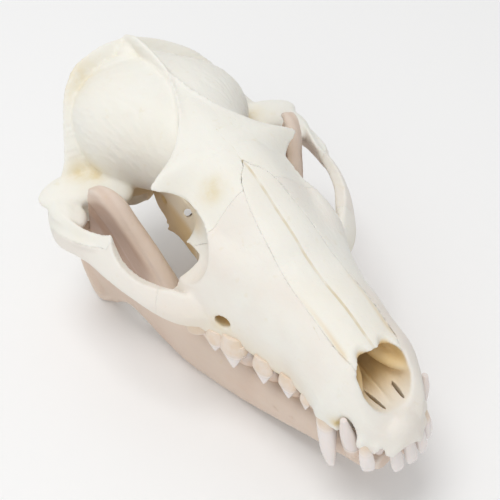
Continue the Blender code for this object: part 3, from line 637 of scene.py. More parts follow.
def nasal_cavity():
    """Pocket behind the opening of the nose."""
    rings = []
    for y in np.arange(CAVITY_WIDTH[0][0], CAVITY_WIDTH[-1][0] + 0.1, RING_STEP):
        low, high = along(CAVITY_FLOOR, y), along(CAVITY_ROOF, y)
        half, middle, rise = along(CAVITY_WIDTH, y), (low + high) / 2, (high - low) / 2
        rings.append([Vector((half * squared(math.cos(a), CAVITY_POWER), y,
                              middle + rise * squared(math.sin(a), CAVITY_POWER)))
                      for a in circle_steps(CAVITY_SIDES)])
    return loft("nasal_cavity", rings)


print("depth of the pocket:", CAVITY_WIDTH[-1][0] - CAVITY_WIDTH[0][0], "mm")

# %% Cut the openings and put the inner forms of the nose back
ORBIT_FLOOR = ((55.5, 35), (55.0, 30.5), (59.5, 25.0), (64.0, 20.0), (90, 20), (90, 30), (70, 35))
CONDYLE_CENTRE = (23.6, 89.2, 25.4)
CONDYLE_RADII = (7.0, 2.5, 2.7)
JOINT_ROOM = 0.8
WALL_HOLE = ((-10.6, 63.6, 40.8), (-9.2, 66.9, 38.1), (-8.0, 69.8, 35.6), (-6.0, 74.6, 31.4),
             (-4.6, 78.0, 28.4))
INFRAORBITAL = ((17.2, 38.6, 30.5), (15.6, 41.4, 30.0), (13.8, 45.0, 30.0), (13.2, 50, 30.2))
VOMER_RIDGE = ((0.1, 2.0, 27.4), (0, 5.0, 28.3), (0, 9.0, 28.8), (0, 14.0, 28.8), (0, 20.0, 29.6))
SCROLL = ((5.6, 8.4, 33.4), (4.4, 11.5, 33.2), (3.4, 16, 34.2), (2.6, 22, 36.0))


def cranium_openings():
    joint = ball("jaw_joint", CONDYLE_CENTRE, [r + JOINT_ROOM for r in CONDYLE_RADII], (0, 0, 6))
    return [nasal_cavity(),
            *in_pairs(joint, ball("canine_notch", (9.6, 6.9, 25.2), (2.4, 2.3, 5.6), (0, 16, 0))),
            ball("foramen_magnum", (0, 112.5, 39.4), (6.2, 8.0, 5.2)),
            ball("choana", (0, 66, 31.8), (5.8, 15.0, 5.4)),
            ball("lost_socket", (-4.9, 1.6, 21.4), (1.0, 0.9, 2.6)),
            spike("wall_hole", WALL_HOLE, (1.0, 0.95, 0.95, 1.1, 1.3)),
            *in_pairs(ball("orbit", (20.4, 58.4, 41.6), (10.8, 13.2, 9.4)),
                      spike("infraorbital", INFRAORBITAL, (0.8, 1.5, 1.45, 1.2), flat=1.15),
                      ball("ear_hole", (20.6, 95.8, 33.6), (4.6, 2.3, 2.4)),
                      ball("nasal_notch", (2.7, 10.6, 40.2), (1.8, 2.5, 2.7)),
                      ball("eye_nerve_hole", (9.6, 79.0, 33.6), (1.6, 1.3, 1.0)),
                      slab("orbit_floor", ORBIT_FLOOR, 9.9, 21.0))]


def nose_forms():
    """Ridge on the floor of the nose, and a thin scroll along each side wall."""
    return [spike("vomer_ridge", VOMER_RIDGE, (0.5, 1.0, 1.2, 1.4, 1.2), flat=0.5),
            *in_pairs(spike("scroll", SCROLL, (0.8, 1.3, 1.8, 2.2), flat=1.3),
                      ball("side_floor", (4.4, 12.5, 28.8), (2.2, 6.0, 2.0)))]


combine(braincase, cranium_openings(), "DIFFERENCE")
combine(braincase, nose_forms(), "UNION")
resurface(braincase, CRANIUM_VOXEL)
print("faces of the cranium:", len(braincase.data.polygons))

# %% [markdown]
# ## Where the bones part
#
# A young skull comes apart along its sutures: the nasal bones, the muzzle, the two cheek
# bones and the braincase stay pieces of their own here. Each is cut out with a block, and a
# hair-thin gap is left, so that the seam shows as a fine line.

# %% Blocks that hold one bone each
SEAM_GAP = 0.025
NASAL_BONES = ((10, 5.2), (13, 5.8), (20, 6.2), (30, 6.0), (40, 5.4), (48, 4.4), (53, 3.0), (57, 1.0))
NASAL_THICKNESS = 2.0
FACE_SEAM = ((52, 70), (50, 42), (62.6, 33), (63.6, 10))
NASAL_PLACES = np.arange(9.0, 57.1, 1.5)
NASAL_TAPER = (0.8, 53, 57)
HEADROOM = 4
CHEEK_SLANT = (86.0, 67.0)
CHEEK_SLANT_Z = 32.4
CHEEK_SLOPE = 0.246
CHEEK_FRONT = ((19.6, 57.3), (45.0, 36.3))
CHEEK_BLOCK_Z = (15, 60)
SLANT_WIDENING = 1.03
FRONT_WIDENING = 1.3
FACE_WIDENING = 0.52
FACE_BLOCK = ((-10, 10), (-10, 70))
FACE_HALF = 45


def nasal_block(grow):
    """Wedge that holds the two nasal bones and the air above them."""
    taper, first, last = NASAL_TAPER
    rings = []
    for y in NASAL_PLACES:
        half = along(NASAL_BONES, y) * (1 - taper * float(ramp(y, first, last))) + grow
        top = along(DORSAL_LINE, y)
        low, high = top - NASAL_THICKNESS - grow, top + HEADROOM
        rings.append([Vector((x, y, z)) for x, z in ((-half, low), (half, low), (half, high), (-half, high))])
    rings[0] = [p - Vector((0, grow, 0)) for p in rings[0]]
    rings[-1] = [p + Vector((0, grow, 0)) for p in rings[-1]]
    return loft("nasal_block", rings)


def cheek_block(grow):
    """Block round the jugal bone. The braincase's part of the arch lies over it in a long slant."""
    low, high = CHEEK_BLOCK_Z
    slant = [(y + grow, CHEEK_SLANT_Z + grow * SLANT_WIDENING - CHEEK_SLOPE * (y + grow - CHEEK_SLANT[0]))
             for y in CHEEK_SLANT]
    rings = []
    for x, front in CHEEK_FRONT:
        edge = front - FRONT_WIDENING * grow
        outline = ((edge, low), (slant[0][0], low), *slant, (slant[1][0], high), (edge, high))
        rings.append([Vector((x, y, z)) for y, z in outline])
    return loft("cheek_block", rings, flat_ends=True)


def face_block(grow):
    """Block in front of the seam where the muzzle meets the forehead."""
    outline = FACE_BLOCK + tuple((y + grow, z + FACE_WIDENING * grow) for y, z in FACE_SEAM)
    return slab("face_block", outline, -FACE_HALF, FACE_HALF)


print("gap at a seam:", SEAM_GAP, "mm")


# %% Split the cranium and cut the slits of the palate
PALATE_SLITS = (("left_slit", (2.9, 7.0, 27.0), (0.4, 2.6, 5.0), (0, 0, -6)),
                ("right_slit", (-2.2, 7.8, 27.0), (0.55, 3.4, 5.0), (0, 0, 10)))


def split_off(whole, name, block):
    """Take the part inside a block off as its own piece, with a thin gap round it."""
    piece = linked(name, whole.data.copy())
    combine(piece, [block(0.0)], "INTERSECT")
    combine(whole, [block(SEAM_GAP)], "DIFFERENCE")
    keep_largest(piece)
    keep_largest(whole)
    return piece


cheek_left = split_off(braincase, "cheek_bone_left", cheek_block)
cheek_right = split_off(braincase, "cheek_bone_right", lambda grow: flipped(cheek_block(grow)))
nasals = split_off(braincase, "nasal_bone_pair", nasal_block)
muzzle = split_off(braincase, "muzzle_bone", face_block)
combine(muzzle, [ball(*slit) for slit in PALATE_SLITS], "DIFFERENCE")
keep_largest(muzzle)
for bone in (braincase, muzzle, nasals, cheek_left, cheek_right):
    print(bone.name, len(bone.data.polygons), "faces")

# %% [markdown]
# ## The lower jaw
#
# Each half of the jaw is a bar that rises at the back into a thin upright plate. The plate
# has a thick front rim, a hook at the top for the temporal muscle and a lobe below. The two
# halves never fuse in this animal, so they stay apart at the chin.

# %% Lines of the lower jaw
JAW_BODY = ((2.7, 2.4, 14.4, 18.4, 2.3),
            (3.3, 6.0, 11.6, 18.6, 3.0),
            (3.9, 11.0, 9.4, 18.2, 3.2),
            (5.2, 17.0, 7.4, 16.6, 2.9),
            (7.2, 25.0, 4.9, 15.4, 2.6),
            (9.3, 33.0, 2.6, 15.2, 2.6),
            (11.6, 42.0, 0.8, 15.6, 2.8),
            (14.0, 51.0, -0.3, 16.4, 2.8),
            (16.4, 59.0, -0.3, 17.6, 2.6),
            (18.6, 67.0, 1.8, 19.0, 2.2),
            (20.8, 75.0, 5.2, 20.0, 1.8))
RAMUS_OUTLINE = ((60, 14), (62.5, 22), (66.5, 30), (69.5, 37), (72, 42.4), (75.5, 45.0), (79, 44.4),
                 (81.8, 40.0), (83.8, 33.5), (86, 28.0), (90, 25.0), (92, 21), (94, 17.2),
                 (97, 15.6), (99.4, 14.4), (97.8, 11.0), (97.0, 7.0), (94.8, 2.8), (90.4, -0.3),
                 (86, 1.2), (81.5, 5.0), (77, 6.4), (71, 4.0), (64, 2))
RAMUS_THICKNESS = 1.8
RAMUS_PLACE = ((58, 17.4), (66, 19.4), (76, 22.2), (86, 24.4), (92, 25.4), (100, 25.8))
RAMUS_LEAN = 0.11
CORONOID_EDGE = ((16.6, 59.4, 15.0), (17.2, 61.6, 22.5), (18.8, 65.4, 30.0), (21.2, 69.8, 38.0),
                 (22.8, 73.0, 43.0), (24.4, 77.4, 44.2), (25.8, 81.6, 42.2))
MASSETER_PATH = ((22.8, 67.0, 20.0), (26.0, 71.6, 25.5), (28.4, 76.0, 32.0), (30.0, 79.5, 37.0),
                 (30.6, 82.0, 40.5))
JAW_NERVE_HOLES = ((6.9, 16.0, 12.6), (9.6, 25.0, 10.2), (11.0, 29.5, 9.4))
CONDYLE_NECK = ((24.0, 82, 17), (24.2, 86, 21), (24.0, 89, 24.6))
MUSCLE_RIDGE = ((20.4, 66, 17), (22.6, 74, 15.6), (24.6, 83, 17.4), (25.6, 91, 19.6))
ANGLE_RIM = ((25.4, 98.6, 13.0), (25.4, 96.4, 7.6), (24.6, 91, 1.7), (22.8, 85, 4.6))
JAW_LEAN = -0.06
TABLE_BLOCK = ((-20, 0), (-20, -20), (140, -20), (140, 0))
TABLE_HALF = 60

print("outline points of the jaw's upright part:", len(RAMUS_OUTLINE))


# %% Fuse one half and mirror it
def jaw_half(name):
    jaw = band(name, [s + (JAW_LEAN * (s[3] - s[2]) / 2,) for s in JAW_BODY])
    forms = [plate("ramus", RAMUS_OUTLINE, RAMUS_THICKNESS, RAMUS_PLACE, RAMUS_LEAN),
             ball("condyle", CONDYLE_CENTRE, CONDYLE_RADII, (0, 0, 6)),
             spike("coronoid_edge", CORONOID_EDGE, (2.2, 2.0, 1.8, 1.7, 1.6, 1.2, 0.6)),
             spike("condyle_neck", CONDYLE_NECK, (1.8, 2.2, 2.4)),
             spike("muscle_ridge", MUSCLE_RIDGE, (0.8, 1.3, 1.5, 0.8)),
             spike("angle_rim", ANGLE_RIM, (1.0, 1.4, 1.7, 1.1))]
    combine(jaw, forms, "UNION")
    hollows = [spike("masseter_hollow", MASSETER_PATH, (1.2, 2.6, 3.4, 3.4, 2.4), flat=1.3),
               ball("angle_hollow", (29.0, 88.0, 10), (4.4, 6.0, 5.0)),
               *[ball("jaw_nerve_hole", place, (1.6, 0.8, 0.55)) for place in JAW_NERVE_HOLES]]
    combine(jaw, hollows, "DIFFERENCE")
    resurface(jaw, JAW_VOXEL)
    combine(jaw, [slab("table", TABLE_BLOCK, -TABLE_HALF, TABLE_HALF)], "DIFFERENCE")
    return keep_largest(jaw)


jaw_left = jaw_half("jaw_bone_left")
jaw_right = mirrored(jaw_left)
jaw_right.name = "jaw_bone_right"
print("faces of one half of the jaw:", len(jaw_left.data.polygons))

# %% [markdown]
# ## Relief and marks
#
# Muscles pull fine ridges out of the braincase, and seams cross the face. Two things are made
# here. Each vertex moves a few hundredths of a millimetre along its normal, which gives true
# relief. And each mesh gets attributes that its material reads later: the distance to the
# nearest seam, how deep in a hollow a point lies, which paints shade into hollows and a
# highlight onto edges, how stained it is, and how much painted shade it gets elsewhere.

# %% Helpers that read and write a mesh as arrays
def points_of(obj):
    co = np.empty(len(obj.data.vertices) * 3)
    obj.data.vertices.foreach_get("co", co)
    return co.reshape(-1, 3)


def normals_of(obj):
    no = np.empty(len(obj.data.vertices) * 3, dtype=np.float32)
    obj.data.vertex_normals.foreach_get("vector", no)
    return no.reshape(-1, 3).astype(float)


def write_attribute(obj, name, values):
    layer = obj.data.attributes.new(name, "FLOAT", "POINT")
    layer.data.foreach_set("value", np.asarray(values, dtype=np.float32))


def distance_to_line(points, line):
    """Shortest distance from each point to a line of straight stretches."""
    line = np.array([tuple(p) for p in line], float)
    best = np.full(len(points), 1e9)
    for a, b in zip(line[:-1], line[1:]):
        d = b - a
        t = np.clip(((points - a) @ d) / (d @ d), 0, 1)
        best = np.minimum(best, np.linalg.norm(points - a - t[:, None] * d, axis=1))
    return best


HOLLOW_ROUNDS = 14


def hollowness(obj, points, normals):
    """How far each point lies below its neighbourhood, in mm."""
    edges = np.empty(len(obj.data.edges) * 2, dtype=np.int64)
    obj.data.edges.foreach_get("vertices", edges)
    a, b = edges.reshape(-1, 2).T
    count = len(points)
    degree = np.bincount(a, minlength=count) + np.bincount(b, minlength=count)
    smooth = points.copy()
    for _ in range(HOLLOW_ROUNDS):
        total = np.stack([np.bincount(a, smooth[b, k], count) + np.bincount(b, smooth[a, k], count)
                          for k in range(3)], axis=1)
        smooth = 0.5 * smooth + 0.5 * total / degree[:, None]
    return ((smooth - points) * normals).sum(1)


def wander(points, size, seed):
    """Smooth noise from -1 to 1 at each point, with lumps of a given size."""
    shift = Vector((seed * 7.3, seed * 3.1, seed * 5.7))
    return np.array([noise.noise(Vector(p) / size + shift) for p in points])


print("mean wander of three points:", wander(np.eye(3), 2.0, 1).mean())

# %% [markdown]
# The seams that no gap makes are drawn as lines over the bone. The middle seam runs from the
# nose to the crest. Others part the premaxilla from the maxilla, the frontal bone from the
# parietal one, and the parietal bone from the temporal one beside the ear.

# %% Lines of the seams and places of the stains
MIDDLE_SEAM = [(0, y, along(DORSAL_LINE, y)) for y in range(10, 86, 2)]
PREMAXILLA_SEAM = curve_through(((8.9, 5.2, 23.4), (9.2, 7.4, 27.5), (8.8, 11.5, 33.0),
                                 (7.6, 17.0, 38.4), (6.5, 25.0, 42.2)), 6)
CORONAL_SEAM = curve_through(((0, 80.5, 58.0), (3.0, 80.0, 56.8), (7.0, 77.6, 54.2), (10.4, 75.0, 50.0),
                              (10.8, 73.6, 45.0), (9.6, 72.0, 39.0)), 6)
SQUAMOSAL_SEAM = curve_through(((12.4, 76.6, 40.0), (17.8, 83.0, 46.0), (20.6, 91.0, 48.6),
                                (20.2, 99.0, 47.0), (19.4, 103.0, 44.4)), 6)
SAFE = 0.002
cad_limits = [np.array(corner) / MM + (0, MIDDLE, 0) + inwards
              for corner, inwards in zip(cad_box, (SAFE, -SAFE))]

YELLOW_STAINS = ((-8.3, 55.8, 51.5, 2.6, 0.55), (-21.0, 91.1, 36.6, 3.4, 0.9),
                 (-23.6, 93.1, 38.2, 3.0, 0.6), (-15.9, 106.2, 55.0, 6.0, 0.35),
                 (-9.6, 9.0, 26.4, 1.6, 1.0), (9.6, 9.0, 26.4, 1.6, 0.8),
                 (21.0, 91.1, 36.6, 3.4, 0.7), (-14.8, 42.0, 28.8, 2.6, 0.7), (14.8, 42.0, 28.8, 2.6, 0.7),
                 (-12.4, 34.5, 24.0, 1.3, 0.9), (-11.6, 27.6, 23.6, 1.2, 0.9), (12.4, 34.5, 24.0, 1.3, 0.9),
                 (-16.4, 59.0, 31.5, 3.0, 0.8), (16.4, 59.0, 31.5, 3.0, 0.6))


def both_sides(points):
    return np.column_stack([np.abs(points[:, 0]), points[:, 1], points[:, 2]])


print("points on the middle seam:", len(MIDDLE_SEAM), "and stains:", len(YELLOW_STAINS))

# %% Carve and mark every bone
NO_SEAM = 9.0
SEAM_LINE = 0.14
SEAM_WIDTH = 0.3
SEAM_DEPTH = 0.11
GRAIN_HEIGHT = 0.035
LUMP_HEIGHT = 0.10
HOLLOW_SCALE = 0.5
SEAM_SWAY = ((1.1, 2, 0.32), (4.0, 5, 0.5))
SWAY_SHARE = 0.5
MIDDLE_REACH = 3
MIDDLE_DRIFT = (0.12, 0.9)
FADING = ((0.14, 54, 60), (0.3, 64, 84))
MIDDLE_SHARPNESS = 0.9
GRAIN_STRETCH = (1.0, 0.45, 1.0)


def mark_bone(obj, seams, middle_seam=False):
    """Points, normals, and for each point its distance to a seam, its hollow and its move."""
    points, normals = points_of(obj), normals_of(obj)
    even = both_sides(points)
    sway = sum(wander(points, size, seed) * amount for size, seed, amount in SEAM_SWAY)
    seam = np.full(len(points), NO_SEAM)
    for line in seams:
        away = distance_to_line(even + sway[:, None] * SWAY_SHARE, line)
        seam = np.minimum(seam, SEAM_LINE + np.abs(away))
    if middle_seam:
        near = distance_to_line(points, MIDDLE_SEAM)
        amount, waves = MIDDLE_DRIFT
        drift = amount * np.sin(points[:, 1] * waves) * ramp(points[:, 1], 50, 64)
        fading = sum(amount * ramp(points[:, 1], *reach) for amount, *reach in FADING)
        across = MIDDLE_SHARPNESS * np.abs(points[:, 0] + drift) + fading
        seam = np.minimum(seam, np.where(near < MIDDLE_REACH, across, NO_SEAM))
    hollow = hollowness(obj, points, normals)
    grain = wander(points * GRAIN_STRETCH, 0.8, 9)
    lumps = wander(points, 5.0, 11)
    move = GRAIN_HEIGHT * grain + LUMP_HEIGHT * lumps - SEAM_DEPTH * np.exp(-(seam / SEAM_WIDTH) ** 2)
    return points, normals, seam, hollow, move


def finish_marks(obj, points, normals, seam, hollow, move, inner):
    """Move the points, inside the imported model's box, and write the four attributes."""
    stain = np.zeros(len(points))
    for x, y, z, size, strength in YELLOW_STAINS:
        d = np.linalg.norm(points - (x, y, z), axis=1)
        stain = np.maximum(stain, strength * np.exp(-(d / size) ** 2))
    moved = np.clip(points + normals * move[:, None], *cad_limits)
    obj.data.vertices.foreach_set("co", moved.ravel())
    obj.data.update()
    write_attribute(obj, "seam", seam)
    write_attribute(obj, "hollow", np.clip(hollow / HOLLOW_SCALE, -1, 1))
    write_attribute(obj, "stain", stain)
    write_attribute(obj, "inner", inner)


print("deepest carving at a seam:", SEAM_DEPTH, "mm")

# %% Painted shade inside the openings and behind the jaw's rim
BALL_MARGIN = 1.04
# These holes and places get painted shade: the infraorbital and ear holes, the hole for the spinal cord, the
# back of the nose and the palate's slits.
PAINTED_SHADE_HOLES = (((14.2, 44.0, 30.1), (1.9, 4.6, 1.9), 0.3), ((20.6, 95.8, 33.6), (5.0, 2.6, 2.7), 0.18))
PAINTED_SHADE_PLACES = (((0, 111.5, 39.4), (6.4, 7.4, 5.4)), ((0, 66, 31.8), (6.2, 15.0, 5.8)),
               ((2.9, 7.0, 25.5), (0.7, 2.8, 3.0)), ((-2.2, 7.8, 25.5), (0.9, 3.6, 3.0)))
ROOF_PLACES = np.linspace(-2, 30, 65)
NOSE_SIDE, NOSE_END, NOSE_FLOOR = (5.4, 6.2), (27, 29), (27.0, 28.6)
NOSE_ROOF, NOSE_RIM, NOSE_DEPTH = (-1.5, -0.7), (3.0, 6.5), (6.0, 15.0)
NOSE_LEVEL = 28
RIM_SLOPE, DEPTH_SLOPE = 0.4, 0.6
RIM_SHARE = 0.25
WALL_SHADE, TOOTH_SHADE, JAW_SHADE = 0.5, 0.2, 0.85
BEFORE_THE_EAR = (84, 92)
JAW_RIM = (1.9, 3.4)


def inside_ball(points, centre, radii, soft=0.18):
    """1 inside an ellipsoid, 0 outside, soft at its surface."""
    reach = np.linalg.norm((points - np.array(centre)) / np.array(radii), axis=1)
    return 1 - ramp(reach, BALL_MARGIN, BALL_MARGIN + soft)


def nose_share(x, y, z):
    """How much painted shade a point gets inside the nose, darker behind its rim."""
    roof = np.interp(y, ROOF_PLACES, np.array([along(DORSAL_LINE, place) for place in ROOF_PLACES]))
    share = (1 - ramp(x, *NOSE_SIDE)) * (1 - ramp(y, *NOSE_END)) * ramp(z, *NOSE_FLOOR)
    share *= 1 - ramp(z - roof, *NOSE_ROOF)
    share *= RIM_SHARE + (1 - RIM_SHARE) * ramp(y + DEPTH_SLOPE * (z - NOSE_LEVEL), *NOSE_DEPTH)
    return share * ramp(y + RIM_SLOPE * (z - NOSE_LEVEL), *NOSE_RIM)


def painted_shade_share(points):
    """How much painted shade a point gets in the nose, a hole, on the orbit's wall, under the skull's base or
    low on the muzzle over the teeth.
    """
    even = both_sides(points)
    x, y, z = even.T
    # The orbit's wall, the underside of the skull's base and the muzzle low over the teeth get painted shade.
    before_the_ear = 1 - ramp(y, *BEFORE_THE_EAR)
    wall = WALL_SHADE * ramp(y, 57, 62) * (1 - ramp(x, 10.2, 11.4)) * (1 - ramp(z, 41, 46))
    base = ramp(y, 60, 66) * (1 - ramp(z, 33, 39)) * (1 - ramp(x, 15, 19))
    over_the_teeth = TOOTH_SHADE * (1 - ramp(z, 25, 34)) * ramp(y, 13, 20) * (1 - ramp(y, 44, 56))
    holes = [inside_ball(even, *hole) for hole in PAINTED_SHADE_HOLES]
    holes += [inside_ball(points, *place) for place in PAINTED_SHADE_PLACES]
    return np.maximum.reduce([nose_share(x, y, z), over_the_teeth, wall * before_the_ear,
                              base * before_the_ear, *holes])


def jaw_shade(points):
    """Painted shade: darker the further a point lies behind the jaw's thick front rim, as far as the ear."""
    away = distance_to_line(both_sides(points), curve_through(CORONOID_EDGE, 6))
    y, z = points[:, 1:].T
    where = ramp(y, 62, 68) * ramp(z, 14, 22) * (1 - ramp(y, *BEFORE_THE_EAR))
    return JAW_SHADE * ramp(away, *JAW_RIM) * where


print("dark holes:", 2 * len(PAINTED_SHADE_HOLES) + len(PAINTED_SHADE_PLACES))

# %% Muscle lines, and the marks of all bones
EAR_PLACE = (92, 38)
MUSCLE_LINES = (((1.5, 5.0, 0.12), 21, 0.13), ((3.2, 9.0, 0.2), 22, 0.06))


def braincase_lines(points):
    """Fine lines where the temporal muscle was rooted, in arcs round the ear."""
    side = points[:, 1:] - EAR_PLACE
    reach = np.linalg.norm(side, axis=1)
    turn = np.arctan2(side[:, 1], side[:, 0])
    polar = np.column_stack([reach, turn, points[:, 0]])
    lines = sum(amount * wander(polar * scales, 1.0, seed) for scales, seed, amount in MUSCLE_LINES)
    where = ramp(points[:, 1], 72, 80) * (1 - ramp(points[:, 1], 106, 110)) * ramp(points[:, 2], 38, 43)
    return where * lines


for bone, seams, has_middle in ((braincase, [CORONAL_SEAM, SQUAMOSAL_SEAM], True),
                                (muzzle, [PREMAXILLA_SEAM], False), (nasals, [], True),
                                (cheek_left, [], False), (cheek_right, [], False),
                                (jaw_left, [], False), (jaw_right, [], False)):
    found = mark_bone(bone, seams, has_middle)
    # share is painted shade, which the material mixes in.
    if bone in (jaw_left, jaw_right):
        share = jaw_shade(found[0])
    else:
        share = painted_shade_share(found[0])
    if bone is braincase:
        found = found[:4] + (found[4] + braincase_lines(found[0]),)
    finish_marks(bone, *found, share)
    print(bone.name, "deepest hollow", round(float(found[3].max()), 2), "mm")

# %% [markdown]
# ## The teeth
#
# Teeth repeat: three incisors, a canine, premolars that are pointed blades and molars with
# low cusps, on both sides of both jaws. So a few crowns are modelled once at unit size, and a
# Geometry Nodes tree sets them on points that carry each tooth's kind, size and turn.

# %% Places and sizes of the teeth
# Each row: the gum's x, y, z, the tip's x, y, z, half length, half width, and angle of the row.
# A molar: the gum's x, y, z, half length, half width, angle and height. A canine: path and radii.
UPPER_INCISORS = ((1.7, 1.3, 20.8, 1.7, -0.7, 16.2, 1.45, 1.05, 90),
                  (4.8, 1.8, 21.0, 4.8, -0.1, 16.6, 1.35, 1.1, 72),
                  (7.2, 3.4, 22.0, 7.4, 1.6, 17.8, 1.5, 1.3, 50))
LOWER_INCISORS = ((1.5, 3.4, 18.0, 1.5, 3.0, 20.4, 0.9, 0.9, 90),
                  (3.4, 3.8, 18.0, 3.5, 3.4, 20.6, 1.0, 0.9, 75),
                  (5.0, 5.0, 18.0, 5.3, 4.7, 20.8, 1.1, 0.9, 55))
UPPER_TEETH = ((10.2, 19.0, 23.6, 10.4, 18.8, 20.4, 1.6, 1.0, 2),
               (11.0, 24.4, 23.8, 11.0, 24.2, 18.8, 2.5, 1.2, 12),
               (12.9, 30.8, 24.0, 13.1, 30.4, 18.6, 2.8, 1.3, 16),
               (15.4, 38.8, 24.2, 15.7, 38.4, 17.6, 3.2, 1.7, 20),
               (17.0, 43.2, 24.2, 17.3, 43.4, 19.4, 2.6, 1.5, 20),
               (14.2, 36.8, 24.0, 13.6, 36.8, 20.8, 1.3, 1.2, 20))
LOWER_TEETH = ((4.9, 16.0, 16.2, 4.9, 15.8, 19.0, 1.4, 0.9, 10),
               (6.2, 21.4, 15.4, 6.2, 21.0, 19.6, 2.2, 1.1, 12),
               (7.8, 27.6, 15.0, 7.8, 27.2, 19.8, 2.5, 1.2, 14),
               (9.4, 34.0, 15.0, 9.4, 33.6, 20.0, 2.8, 1.3, 15),
               (11.2, 40.6, 15.2, 11.2, 40.2, 20.6, 3.0, 1.7, 16),
               (12.2, 44.6, 15.4, 12.2, 44.4, 19.4, 2.6, 1.7, 16))
UPPER_MOLARS = ((16.6, 49.2, 24.2, 3.3, 4.2, 8, 2.7), (15.6, 55.2, 24.8, 2.1, 3.2, -4, 2.2))
LOWER_MOLARS = ((14.4, 51.0, 16.4, 2.8, 1.9, 18, 2.2), (16.2, 56.0, 17.6, 1.5, 1.4, 20, 1.5))
UPPER_CANINE = (((8.2, 17.0, 30), (9.0, 14.0, 25), (9.7, 12.4, 20.5), (10.2, 11.0, 16), (10.2, 9.9, 12.2)),
                (1.8, 2.3, 2.15, 1.75, 0.85))
LOWER_CANINE = (((4.6, 11.0, 11), (6.2, 8.6, 16.5), (7.8, 7.2, 21), (9.2, 6.8, 25.6), (9.8, 7.2, 29.3)),
                (1.8, 2.15, 2.0, 1.5, 0.7))
LOST_TOOTH = 1
MOLAR_STRETCH = 1.1

print("crowns of one upper side:", len(UPPER_INCISORS + UPPER_TEETH + UPPER_MOLARS))

# %% Crowns at unit size
CROWN_VOXEL = 0.045
CROWN_ROUNDS = 5
CROWN_SIDES = 28
CUSP_TAPER = (1, 0.8, 0.25)
CROWN_FORMS = (("crown_0_incisor", ((-0.4, 0.62, 0.7), (0, 0.8, 0.92), (0.3, 0.96, 1.0), (0.7, 1.0, 0.78),
                                    (0.92, 0.86, 0.5), (1.0, 0.7, 0.3)),
                ((0, 0, 0.7, 1.04, 0.36),)),
               ("crown_1_blade", ((-0.4, 0.7, 0.72), (0, 0.92, 0.96), (0.22, 1.0, 1.0), (0.45, 0.72, 0.78),
                                  (0.75, 0.4, 0.46), (1.0, 0.1, 0.14)),
                ((0.72, 0, 0.1, 0.5, 0.3), (-0.74, 0, 0.05, 0.34, 0.26))),
               ("crown_2_molar", ((-0.5, 0.7, 0.7), (0, 0.9, 0.9), (0.5, 1.0, 1.0), (0.72, 0.86, 0.88)),
                ((0.45, 0.5, 0.4, 1.1, 0.34), (-0.45, 0.5, 0.4, 1.05, 0.34),
                 (0.3, -0.5, 0.4, 0.95, 0.34), (-0.4, -0.45, 0.4, 0.9, 0.28))))


def crown(name, rings, cusps):
    """Crown of unit size: x along the row, y across it, z from the gum (0) to the tip (1)."""
    body = loft(name, [[Vector((sx * math.cos(a), sy * math.sin(a), z)) for a in circle_steps(CROWN_SIDES)]
                       for z, sx, sy in rings])
    extra = [spike("cusp", ((x, y, low), (x, y, (low + high) / 2), (x, y, high)),
                   [r * share for share in CUSP_TAPER], sides=16, per_span=3) for x, y, low, high, r in cusps]
    combine(body, extra, "UNION")
    resurface(body, CROWN_VOXEL, CROWN_ROUNDS)
    body.hide_render = True
    return body


crowns = bpy.data.collections.new("tooth_crowns")
bpy.context.scene.collection.children.link(crowns)
for form in CROWN_FORMS:
    shape = crown(*form)
    bpy.context.scene.collection.objects.unlink(shape)
    crowns.objects.link(shape)
    print(shape.name, len(shape.data.polygons), "faces")


# %% Points that say where each tooth stands
def tooth_frame(gum, tip, angle):
    """Turn that takes a unit crown's z to the way from gum to tip, and its x along the row."""
    axis = (Vector(tip) - Vector(gum)).normalized()
    ahead = Matrix.Rotation(math.radians(-angle), 3, "Z") @ Vector((0, 1, 0))
    ahead = (ahead - axis * ahead.dot(axis)).normalized()
    across = axis.cross(ahead)
    return Matrix((ahead, across, axis)).transposed().to_euler()


def row_points(incisors, blades, molars, side, lost=()):
    """Place, kind, size and turn of each tooth on one side of a jaw."""
    rows = []
    for kind, teeth in ((0, incisors), (1, blades)):
        for k, (gx, gy, gz, tx, ty, tz, long, wide, angle) in enumerate(teeth):
            if kind == 0 and k in lost:
                continue
            gum, tip = Vector((side * gx, gy, gz)), Vector((side * tx, ty, tz))
            rows.append((gum, kind, (long, wide, (tip - gum).length), tooth_frame(gum, tip, side * angle)))
    down = -1 if molars is UPPER_MOLARS else 1
    for x, y, z, long, wide, angle, tall in molars:
        gum = Vector((side * x, y, z))
        tip = gum + Vector((0, 0, down * tall))
        rows.append((gum, 2, (long, wide, tall * MOLAR_STRETCH), tooth_frame(gum, tip, side * angle)))
    return rows


def points_mesh(name, rows):
    """Mesh of loose points that carry each tooth's kind, size and turn as attributes."""
    obj = new_object(name, [r[0] for r in rows], [])
    for layer, kind, column in (("kind", "INT", 1), ("size", "FLOAT_VECTOR", 2), ("turn", "FLOAT_VECTOR", 3)):
        data = obj.data.attributes.new(layer, kind, "POINT").data
        for item, row in zip(data, rows):
            if kind == "INT":
                item.value = row[column]
            else:
                item.vector = tuple(row[column])
    return obj


upper_rows = (row_points(UPPER_INCISORS, UPPER_TEETH, UPPER_MOLARS, 1)
              + row_points(UPPER_INCISORS, UPPER_TEETH, UPPER_MOLARS, -1, lost=(LOST_TOOTH,)))
print("upper teeth set on points:", len(upper_rows))

# %% [markdown]
# ## Finishes
#
# Dry bone is ivory with a faint mottle. Its hollows get a warmer painted shade, its edges a
# painted highlight, and its openings painted shade as well. The shared effects are node groups:
# one mixes the bone's colour from the attributes, and one makes its relief. Enamel is smoother,
# whiter and has a slight coat.

